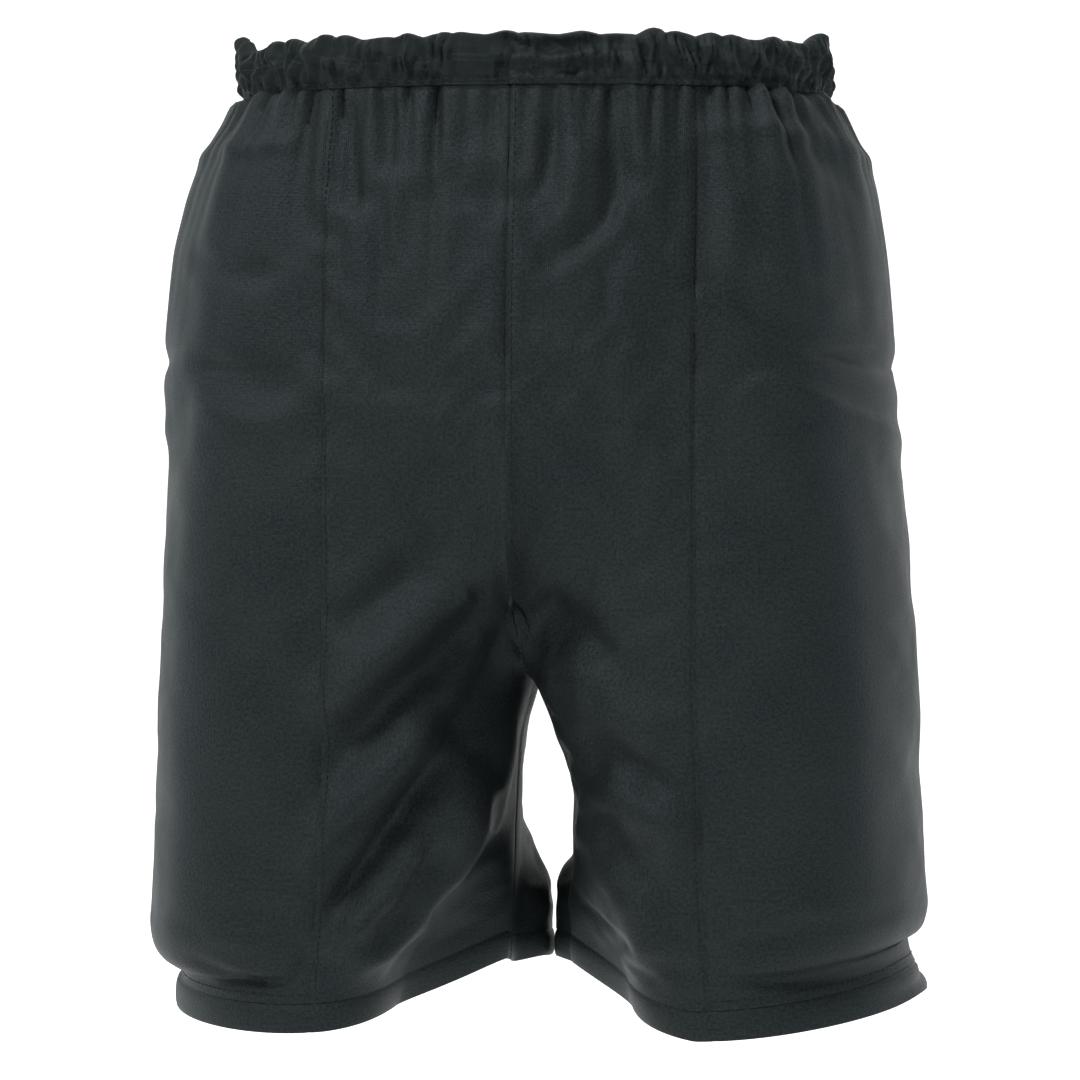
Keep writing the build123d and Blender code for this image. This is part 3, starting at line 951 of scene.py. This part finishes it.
def finer(coarse, shape):
    """Spreads a coarse grid of values over the fine grid and rounds it."""
    columns, rows = (np.arange(n) / SETTLE_STEP for n in shape)
    wide = np.array([np.interp(columns, np.arange(coarse.shape[0]), line) for line in coarse.T]).T
    fine = np.array([np.interp(rows, np.arange(coarse.shape[1]), line) for line in wide])
    return rounded_grid(fine, SETTLE_STEP)


settle_cloth()


def finish_piece(piece, slot, body, node):
    piece.data.materials.append(MATERIALS[slot])
    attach(piece, body)
    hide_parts(node)


def cloth_piece(name, outer, inner, flip, slot, node, cut, held, rests_on=(), area=None, **form):
    """A sheet of the shell's body, with its slot and its CAD node; the size it was cut to is not
    used.
    """
    piece = sheet_object(name, outer, inner, flip, **form)
    finish_piece(piece, slot, "shell", node)


# Cloth as it was cut, in metres: width, length and, where the cut isn't a rectangle, its area
CUTS = {
    "front": ((0.20, 0.46), 0.060),
    "side": ((0.30, 0.46), None),
    "back": ((0.24, 0.46), 0.076),
}
HEM_CUT = (0.62, 0.018)
WAISTBAND_CUT = (0.96, 0.055)
LINING_CUT = (0.28, 0.43)
TAILBONE_POCKET_CUT = (0.15, 0.15)
ELASTIC_CUT = (0.79, 0.018)
LABEL_CUT = (0.034, 0.02)


def cloth_panels(half):
    """Front, side and back panels of one half, down to the hem."""
    for part in ("front", "side", "back"):
        columns, rows = half.columns(part), half.rows(WAISTBAND_BOTTOM, HEM_TOP)
        outer = half.points[columns, rows]
        inner = outer - half.normals[columns, rows] * CLOTH
        anchor = -1 if part == "front" else 0
        cut, area = CUTS[part]
        cloth_piece(f"{half.label}_{part}_cloth", outer, inner, half.side < 0, "shell_knit",
                    f"{half.label}_{part}_panel", cut, "hung", ["waist_elastic"], area,
                    anchor=anchor)


def leg_hem(half):
    """Turned-up hem: a ring that starts at its stitch line and rolls round the cut edge."""
    rows = half.rows(HEM_TOP, HEM_BOTTOM)
    outer = half.points[:-1, rows].copy()
    normals = half.normals[:-1, rows]
    depth = (HEM_TOP - half.z[:-1, rows]) / (HEM_TOP - HEM_BOTTOM)
    swell = 0.9 * np.sin(np.pi * np.clip(depth, 0, 1)) ** 0.6 - 0.5 * bell(depth, 0.16)
    outer += normals * swell[..., None]
    thickness = HEM_THICKNESS * (1 - 0.55 * depth**6)
    inner = outer - normals * thickness[..., None]
    cloth_piece(f"{half.label}_hem_cloth", outer, inner, half.side < 0, "shell_knit",
                f"{half.label}_leg_hem", HEM_CUT, "folded", closed=True, anchor=COLUMNS_FRONT)


HEM_THICKNESS = 2.2

# Waistband casing: mesh steps round and up, then its swell, puckers and depth in mm
CASING_AROUND = 900
STITCH_ROW_OF_CASING = 3
CASING_UP = 26
CASING_SWELL = 2.2
CASING_PUCKER = 8.4
CASING_DEPTH = 6.0
CASING_FOOT = 0.28
CASING_DEEPEST = -1.3
CASING_LOWEST = -1.0
CASING_FOOT_GATHER = 1.0
ROLL_HEIGHT = 3.2
EAR_TILT = 0.45
# Where round the waist the top edge stands up in an ear, how wide and how high
EARS = ((0.228, 8.0, 9.0), (0.25, 5.0, 7.0), (-0.24, 7.0, 10.0), (-0.215, 5.0, 4.0))


def crumple(s, v, count, seed, slant):
    """Ridges that run up the casing, wander and break, at v from 0 at its foot to 1 at its top."""
    tilt = slant * np.sin(wave(s, WAIST_GIRTH, max(count // 5, 3), seed + 1))
    bend = 0.8 * np.sin(wave(s, WAIST_GIRTH, count // 2, seed + 2) + 5 * v)
    ridges = puffs(wave(s, WAIST_GIRTH, count, seed) + tilt * (v - 0.4) + bend)
    broken = 0.65 + 0.35 * np.sin(wave(s, WAIST_GIRTH, count // 3, seed + 3) + 4.2 * v)
    return (ridges - PUFF_MIDDLE) * broken


def casing_strength(s):
    """How strongly the casing is crumpled: flat only beside the centre seam."""
    place = signed_place(s)
    return 1.05 - 0.8 * bell(place + 19, 10) - 0.35 * bell(place - 16, 22)


def ear_heights(s):
    """The points of cloth that stand up over the top edge at both sides."""
    place = signed_place(s)
    total = np.zeros_like(s)
    for at, width, height in EARS:
        total += height * np.exp(-((np.abs(place - at * WAIST_GIRTH) / width) ** 1.4))
    return total


def casing_top(s):
    """How far the top edge of the casing rises over its mean height."""
    slow = 1.0 * np.sin(wave(s, WAIST_GIRTH, 9, 5)) + 1.2 * np.sin(wave(s, WAIST_GIRTH, 23, 6))
    quick = 2.4 * (puffs(wave(s, WAIST_GIRTH, 47, 71)) - PUFF_MIDDLE)
    return (slow + quick) * gather_strength(s) + ear_heights(s)


def casing_pucker(s, v):
    """Outward height of the puffs of the casing, at v from 0 at its stitch line to 1 at its top."""
    crest = 0.5 + 0.5 * np.sin(np.pi * np.clip(v, 0, 1)) ** 0.7
    pucker = 0.55 * crumple(s, v, 66, 11, 3.0) + 0.5 * crumple(s, v, 41, 93, 5.5)
    pucker += 0.36 * crumple(s, v, 118, 57, 6.0)
    pucker += 0.30 * crumple(s, v, 171, 29, 9.0)
    pucker += 0.16 * np.sin(wave(s, WAIST_GIRTH, 30, 75) * 1.0 + 9 * v)
    place = signed_place(s)
    across = np.exp(-(((place - 19) / 26) ** 4))
    rolls = across * ROLL_HEIGHT * np.sin(4.2 * np.pi * v + 0.5 + 0.5 * np.sin(place / 11))
    high = CASING_PUCKER * pucker * crest * casing_strength(s) + rolls
    foot = smooth(v / CASING_FOOT)
    total = high * foot + gather_heights(s, np.full_like(s, CASING_FOOT_GATHER)) * (1 - foot)
    return at_least(total, CASING_DEEPEST, 0.5)


def waistband():
    """Gathered casing: out at the stitch line, up, over the top edge and down inside."""
    s, side, u = waist_loop(CASING_AROUND)
    height = WAIST_TOP - WAISTBAND_BOTTOM
    path = []
    for k in range(CASING_UP + 1):
        v = k / CASING_UP
        swell = 0.3 + CASING_SWELL * math.sin(math.pi * v) ** 0.7
        path.append(("outer", v, swell))
    for k in range(1, 5):
        path.append(("top", 1.0, 0.6 - CASING_DEPTH * k / 5))
    for k in range(CASING_UP + 1):
        v = 1 - k / CASING_UP
        path.append(("inner", v, 0.6 - CASING_DEPTH - 0.5 * math.sin(math.pi * v)))
    rows = []
    lift = at_least(casing_top(s), CASING_LOWEST, 1.0)
    tilt = ear_heights(s) * EAR_TILT
    for where, v, offset in path:
        pucker = casing_pucker(s, v)
        if where == "outer":
            out = offset + pucker
        elif where == "top":
            share = (0.6 - offset) / CASING_DEPTH
            out = offset + pucker * (1 - 0.6 * share)
        else:
            out = offset + 0.1 * pucker
        z = WAISTBAND_BOTTOM + (height - 1.0 + lift) * v
        if where == "top":
            z = z + 1.2 * math.sin(math.pi * (0.6 - offset) / CASING_DEPTH)
        flat = np.clip(z, WAISTBAND_BOTTOM, WAIST_TOP)
        point = on_body(u, flat, out + tilt * v**3)
        point[..., 2] = z
        point[..., 0] *= side
        rows.append(np.where((side > 0)[:, None], warp(point, 1), warp(point, -1)))
    outer = np.stack(rows, 1)
    normals = ring_normals(outer)
    inner = outer - normals * CLOTH
    cloth_piece("waistband_cloth", outer, inner, False, "shell_knit", "waistband_casing",
                WAISTBAND_CUT, "gathered", ["waist_elastic"], closed=True, upright=False)
    line, facing = outer[:, STITCH_ROW_OF_CASING], normals[:, STITCH_ROW_OF_CASING]
    stitches("waist_seam", [(line, facing)], "waist_stitching")


def ring_normals(points):
    """Outward unit normals of a grid that closes round the body."""
    along = (np.roll(points, -1, 0) - np.roll(points, 1, 0)) / 2
    down = np.gradient(points, axis=1)
    normal = np.cross(along, down)
    return normal / np.maximum(np.linalg.norm(normal, axis=-1, keepdims=True), 1e-9)


# Single stitches in mm: length, distance from one to the next, radius, and the radius along it
STITCH_LENGTH = 2.5
STITCH_PITCH = 3.5
STITCH_RADIUS = 0.28
STITCH_SIDES = 6
STITCH_PROFILE = ((-0.5, 0.15), (-0.42, 0.75), (-0.2, 1.0), (0.2, 1.0), (0.42, 0.75), (0.5, 0.15))


def stitches(name, lines, node):
    """Runs of small rounded stitches along lines of (points, outward normals)."""
    vertices, faces = [], []
    angle = np.arange(STITCH_SIDES) * 2 * math.pi / STITCH_SIDES
    for points, normals in lines:
        gaps = np.linalg.norm(np.diff(points, axis=0), axis=1)
        run = np.r_[0, np.cumsum(gaps)]
        middles = np.arange(STITCH_PITCH / 2, run[-1] - STITCH_LENGTH / 2, STITCH_PITCH)
        sample = middles[:, None] + np.array([p for p, _ in STITCH_PROFILE]) * STITCH_LENGTH
        thick = np.array([r for _, r in STITCH_PROFILE]) * STITCH_RADIUS
        at = np.stack([np.interp(sample, run, points[:, k]) for k in range(3)], -1)
        out = np.stack([np.interp(sample, run, normals[:, k]) for k in range(3)], -1)
        out /= np.linalg.norm(out, axis=-1, keepdims=True)
        along = np.gradient(at, axis=1)
        along /= np.maximum(np.linalg.norm(along, axis=-1, keepdims=True), 1e-9)
        across = np.cross(along, out)
        ring = out[..., None, :] * np.cos(angle)[:, None]
        ring = (ring + across[..., None, :] * np.sin(angle)[:, None]) * thick[:, None, None]
        bow = (thick - STITCH_RADIUS * 0.4)[None, :, None]
        solid = (at + out * bow)[..., None, :] + ring
        rings = len(STITCH_PROFILE)
        for k in range(len(middles)):
            start = len(vertices)
            vertices.extend(solid[k].reshape(-1, 3))
            for i in range(rings - 1):
                for j in range(STITCH_SIDES):
                    n = (j + 1) % STITCH_SIDES
                    low, high = start + i * STITCH_SIDES, start + (i + 1) * STITCH_SIDES
                    faces.append((low + j, low + n, high + n, high + j))
            faces.append(tuple(start + j for j in reversed(range(STITCH_SIDES))))
            end = start + (rings - 1) * STITCH_SIDES
            faces.append(tuple(end + j for j in range(STITCH_SIDES)))
    piece = make_object(name, np.array(vertices), faces)
    finish_piece(piece, "thread", "shell", node)


def row_line(half, height, first, last, closed=False):
    """Points and normals along one row of a half, from one column to another."""
    row = int(np.argmin(np.abs(half.heights - height)))
    columns = np.arange(first, last + 1)
    points, normals = half.points[columns, row], half.normals[columns, row]
    if closed:
        points, normals = np.vstack([points, points[:1]]), np.vstack([normals, normals[:1]])
    return points, normals


def column_line(half, column, top, bottom):
    rows = half.rows(top, bottom)
    return half.points[column, rows], half.normals[column, rows]


def seam_stitches():
    seams = (SEAM_COLUMNS[0] - 1, SEAM_COLUMNS[1] + 1)
    for half in halves:
        lines = [column_line(half, at, WAISTBAND_BOTTOM, POCKET_BOTTOM) for at in seams]
        lines.append(row_line(half, POCKET_BOTTOM - 1, seams[0] + 1, seams[1] - 1))
        stitches(f"{half.label}_pocket_seam", lines, f"{half.label}_pocket_stitching")
        hem = row_line(half, HEM_TOP - 1.6, 0, LAST_COLUMN - 1, closed=True)
        stitches(f"{half.label}_hem_seam", [hem], f"{half.label}_hem_stitching")
    left = halves[0]
    for name, column in (("centre_front", 2), ("centre_back", LAST_COLUMN - 2)):
        line = column_line(left, column, WAISTBAND_BOTTOM, CROTCH + 8)
        stitches(f"{name}_seam", [line], f"{name}_stitching")


def corner_trim(z, top, bottom, corner):
    """How far a rounded corner draws the side in at each height."""
    gap = np.clip(np.minimum(top - z, z - bottom), 0, corner)
    return corner - np.sqrt(np.maximum(corner**2 - (corner - gap) ** 2, 0))


def pad_heights(top, bottom, step=2.5):
    """Rows from top to bottom, closer together at both ends."""
    turn = np.linspace(0, math.pi, int((top - bottom) / step) + 2)
    even = np.linspace(0, 1, len(turn))
    share = 0.35 * (1 - np.cos(turn)) / 2 + 0.65 * even
    return top + (bottom - top) * share


def pad_form(place, heights, first, last, inner, outer, columns, spacing, channels):
    """Foam pad as two faces that meet in a rounded edge, with moulded channels on the outside."""
    turn = (1 - np.cos(np.linspace(0, math.pi, columns))) / 2
    share = turn * 0.3 + 0.7 * np.linspace(0, 1, columns)
    u = first[None, :] + share[:, None] * (last - first)[None, :]
    z = np.broadcast_to(heights, u.shape)
    side_gap = np.minimum(share, 1 - share)[:, None] * (last - first)[None, :] * spacing
    end_gap = np.minimum(heights[0] - z, z - heights[-1])
    gap = np.minimum(side_gap, end_gap)
    full = outer(u, z) - inner
    half = full / 2 * np.sqrt(1 - (1 - np.clip(gap / PAD_EDGE, 0, 1)) ** 2) + 0.25
    middle = inner + full / 2
    groove = np.zeros_like(u)
    across_lines, up_lines = channels
    width = (last - first)[None, :] * spacing
    for at in across_lines:
        groove = np.maximum(groove, bell((share[:, None] - at) * width, CHANNEL_WIDTH))
    for at in up_lines:
        line = heights[0] + (heights[-1] - heights[0]) * at
        groove = np.maximum(groove, bell(z - line, CHANNEL_WIDTH))
    groove *= CHANNEL_DEPTH * round_step((gap - 4) / 10)
    return place(u, z, middle + half - groove), place(u, z, middle - half)


# Foam pads: rounded edge, moulded channels, distance from the body and from the outer cloth
PAD_EDGE = 5.0
CHANNEL_WIDTH = 2.6
CHANNEL_DEPTH = 3.0
PAD_INSIDE = 1.0
PAD_OUTSIDE_GAP = 3.3
PAD_CORNERS = {"hip_pad": 22.0, "thigh_pad": 30.0}
PAD_MARGINS = {"hip_pad": (0.075, 0.06), "thigh_pad": (0.056, 0.056)}
PAD_CHANNELS = {
    "hip_pad": ((0.34, 0.66), (0.5,)),
    "thigh_pad": ((0.34, 0.66), (0.2, 0.4, 0.6, 0.8)),
}


def side_pads():
    for half in halves:
        for kind, body in (("hip_pad", f"{half.label}_hip"), ("thigh_pad", f"{half.label}_thigh")):
            node = f"{half.label}_{kind}"
            top, bottom = top_mm(node), bottom_mm(node)
            heights = pad_heights(top, bottom)
            trim = corner_trim(heights, top, bottom, PAD_CORNERS[kind]) / MM_PER_U
            margin_front, margin_back = PAD_MARGINS[kind]
            front = seam_u(FRONT_SEAM_X, heights, False)
            back = seam_u(BACK_SEAM_X, heights, True)

            def place(u, z, offset, side=half.side):
                return garment_points(u, z, offset, side)

            def outer(u, z, front=front, back=back, side=half.side):
                full = pocket_bulge(u, z, front[None, :], back[None, :], side)
                return np.maximum(full + 0.5 - PAD_OUTSIDE_GAP, PAD_INSIDE + 1)

            grids = pad_form(place, heights, front + margin_front + trim, back - margin_back - trim,
                             PAD_INSIDE, outer, 64, MM_PER_U, PAD_CHANNELS[kind])
            piece = sheet_object(f"{node}_foam", *grids, half.side < 0)
            finish_piece(piece, "pad_foam", body, node)


def across_back(u, z, offset):
    """A point near the centre back, where u over 1 lies on the wearer's right."""
    return garment_points(1 - np.abs(1 - u), z, offset, np.where(u > 1, -1, 1))


# Tailbone pad and pocket: half width in u, corner radius, place and thickness in mm
TAILBONE_REACH = 0.105
TAILBONE_CORNER = 26.0
TAILBONE_OUTSIDE = -4.2
TAILBONE_DEPTH = 7.6
TAILBONE_MARGIN = 14.0
TAILBONE_POCKET_DEPTH = 14.5


def tailbone_pieces():
    top, bottom = top_mm("tailbone_pad"), bottom_mm("tailbone_pad")
    heights = pad_heights(top, bottom)
    reach = TAILBONE_REACH - corner_trim(heights, top, bottom, TAILBONE_CORNER) / HALF_GIRTH
    inner = TAILBONE_OUTSIDE - TAILBONE_DEPTH
    grids = pad_form(across_back, heights, 1 - reach, 1 + reach, inner,
                     lambda u, z: np.full_like(u, TAILBONE_OUTSIDE), 56, HALF_GIRTH,
                     ((0.34, 0.66), (0.34, 0.67)))
    piece = sheet_object("tailbone_pad_foam", *grids, False)
    finish_piece(piece, "pad_foam", "tailbone", "tailbone_pad")

    top, bottom = top + TAILBONE_MARGIN, bottom - TAILBONE_MARGIN
    heights = pad_heights(top, bottom)
    trim = corner_trim(heights, top, bottom, TAILBONE_CORNER) / HALF_GIRTH
    reach = TAILBONE_REACH + TAILBONE_MARGIN / HALF_GIRTH - trim
    share = np.linspace(-1, 1, 97)[:, None]
    u = 1 + share * reach[None, :]
    z = np.broadcast_to(heights, u.shape)
    edge = (1 - np.abs(share)) * reach[None, :] * HALF_GIRTH / TAILBONE_MARGIN
    ends = np.minimum(top - z, z - bottom) / TAILBONE_MARGIN
    depth = TAILBONE_POCKET_DEPTH * round_step(edge) * round_step(ends) + 2.2
    depth += 0.5 * np.sin(u * 160) * np.sin(z / 9.0) * round_step(2 - edge)
    outer, inner = across_back(u, z, -depth), across_back(u, z, -depth - CLOTH)
    cloth_piece("tailbone_pocket_cloth", outer, inner, False, "lining_mesh", "tailbone_pocket",
                TAILBONE_POCKET_CUT, "hung", ["tailbone_pad"])


LINING_CLOTH = 0.8


def pocket_linings():
    """Inner walls of the side pockets, stitched in at both seams and the bottom."""
    for half in halves:
        columns, rows = half.columns("side"), half.rows(WAISTBAND_BOTTOM, POCKET_BOTTOM)
        u, z = half.u[columns, rows][::2, ::2], half.z[columns, rows][::2, ::2]
        outside = (half.bulge + half.relief)[columns, rows][::2, ::2]
        offset = np.minimum(outside, 0.6) - 1.4
        offset = offset + 0.35 * np.sin(z / 11.0 + 2 * np.sin(u * 40)) * round_step(outside / 8)
        outer, inner = (garment_points(u, z, offset - t, half.side) for t in (0.0, LINING_CLOTH))
        cloth_piece(f"{half.label}_pocket_lining_mesh", outer, inner, half.side < 0,
                    "lining_mesh", f"{half.label}_pocket_lining", LINING_CUT, "hung",
                    ["waistband_casing"])


ELASTIC_OFFSET = -2.3
ELASTIC_THICKNESS = 1.2


def waist_elastic():
    """A band that runs loose round the waist, inside the casing."""
    heights = np.linspace(top_mm("waist_elastic"), bottom_mm("waist_elastic"), 25)
    s, side, u = waist_loop(480)
    grids = []
    for layer, way in ((ELASTIC_OFFSET, 1), (ELASTIC_OFFSET - ELASTIC_THICKNESS, -1)):
        rows = []
        for k, z in enumerate(heights):
            edge = 0.35 * ELASTIC_THICKNESS * (k in (0, len(heights) - 1)) * way
            level = layer - edge + 0.15 * np.sin(s * 0.35)
            rows.append(garment_points(u, np.full_like(u, z), level, side))
        grids.append(np.stack(rows, 1))
    cloth_piece("waist_elastic_band", *grids, False, "elastic", "waist_elastic", ELASTIC_CUT,
                "stretched", closed=True)


LABEL_CURL = 1.2


def care_label():
    """Blank tape label, sewn in under the casing at the centre back, its free end curling."""
    top, bottom = top_mm("care_label"), bottom_mm("care_label")
    width = (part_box("care_label")[1].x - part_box("care_label")[0].x) / MM
    reach = width / 2 / HALF_GIRTH
    heights = np.linspace(top, bottom, 24)
    share = np.linspace(-1, 1, 21)[:, None]
    u = 1 + share * np.full((1, 24), reach)
    z = np.broadcast_to(heights, u.shape)
    down = (top - z) / (top - bottom)
    offset = -2.4 - LABEL_CURL * down**2 - 0.3 * share**2 * down
    outer, inner = across_back(u, z, offset), across_back(u, z, offset - 0.5)
    cloth_piece("care_label_tape", outer, inner, False, "label_tape", "care_label", LABEL_CUT,
                "hung", ["waistband_casing"])


for half in halves:
    cloth_panels(half)
    leg_hem(half)
waistband()
waist_elastic()
pocket_linings()
side_pads()
tailbone_pieces()
care_label()
seam_stitches()


# Backdrop, in mm: below the hem, out to the turn, its radius, and its reach ahead, up and aside
FLOOR_GAP = 260.0
BACKDROP_TURN = 2600.0
BACKDROP_RADIUS = 1500.0
BACKDROP_REACH = 6000.0
BACKDROP_SIDE = 8000.0


def backdrop():
    """A pale floor that curves up into a wall behind, well clear of the shorts."""
    floor = HEM_BOTTOM - FLOOR_GAP
    profile = [(-BACKDROP_REACH, floor), (BACKDROP_TURN, floor)]
    for angle in np.radians(np.arange(1, 13) * 7.5):
        back, up = BACKDROP_RADIUS * math.sin(angle), BACKDROP_RADIUS * (1 - math.cos(angle))
        profile.append((BACKDROP_TURN + back, floor + up))
    profile.append((BACKDROP_TURN + BACKDROP_RADIUS, floor + BACKDROP_REACH))
    points = np.array([[(x, y, z) for y, z in profile] for x in (-BACKDROP_SIDE, BACKDROP_SIDE)])
    faces = grid_faces(2, len(profile), 0, True)
    piece = make_object("backdrop", points.reshape(-1, 3), faces, solid=False)
    material = bpy.data.materials.new("backdrop")
    material.use_nodes = True
    shader = material.node_tree.nodes["Principled BSDF"]
    shader.inputs["Base Color"].default_value = (0.86, 0.86, 0.86, 1)
    shader.inputs["Roughness"].default_value = 0.9
    shader.inputs["Emission Color"].default_value = (1, 1, 1, 1)
    shader.inputs["Emission Strength"].default_value = 0.5
    piece.data.materials.append(material)


# Area lights: name, place and aim in metres, size, power and colour
LIGHTS = (
    ("key", (-1.1, -1.3, 1.5), (0, 0, -0.25), (0.7, 0.7), 52, (1, 0.98, 0.95)),
    ("fill", (1.4, -1.4, 0.3), (0, 0, -0.25), (1.2, 1.2), 6, (1, 1, 1)),
    ("top", (0, -0.1, 1.6), (0, 0, -0.2), (1.4, 1.4), 16, (1, 1, 1)),
    ("left_rim", (-1.6, 0.5, 0.0), (0, 0, -0.25), (0.7, 1.6), 5, (0.7, 0.92, 1)),
    ("right_rim", (1.6, 0.6, 0.0), (0, 0, -0.25), (0.7, 1.6), 5, (0.7, 0.92, 1)),
)
WORLD_STRENGTH = 0.42


def area_light(name, place, aim, size, power, colour):
    data = bpy.data.lights.new(name, "AREA")
    data.shape = "RECTANGLE"
    data.size, data.size_y = size
    data.energy = power
    data.color = colour
    lamp = bpy.data.objects.new(name, data)
    lamp.location = Vector(place)
    lamp.rotation_euler = (Vector(aim) - Vector(place)).to_track_quat("-Z", "Y").to_euler()
    bpy.context.scene.collection.objects.link(lamp)


def set_camera():
    data = bpy.data.cameras.new("camera")
    data.sensor_width = 36.0
    data.lens = CAMERA_LENS
    camera = bpy.data.objects.new("camera", data)
    bpy.context.scene.collection.objects.link(camera)
    towards = Vector((math.sin(CAMERA_AZIMUTH), -math.cos(CAMERA_AZIMUTH), 0))
    right = Vector((math.cos(CAMERA_AZIMUTH), math.sin(CAMERA_AZIMUTH), 0))
    place = towards * CAMERA_DISTANCE + Vector((0, 0, CAMERA_HEIGHT))
    aim = right * CAMERA_AIM_SIDE + Vector((0, 0, CAMERA_AIM_HEIGHT))
    camera.location = place * MM
    camera.rotation_euler = ((aim - place) * MM).to_track_quat("-Z", "Y").to_euler()
    bpy.context.scene.camera = camera


backdrop()
set_camera()
for row in LIGHTS:
    area_light(*row)
world = bpy.data.worlds.new("world")
bpy.context.scene.world = world
world.use_nodes = True
world.node_tree.nodes["Background"].inputs["Color"].default_value = (1, 1, 1, 1)
world.node_tree.nodes["Background"].inputs["Strength"].default_value = WORLD_STRENGTH
bpy.context.scene.view_settings.view_transform = "Standard"
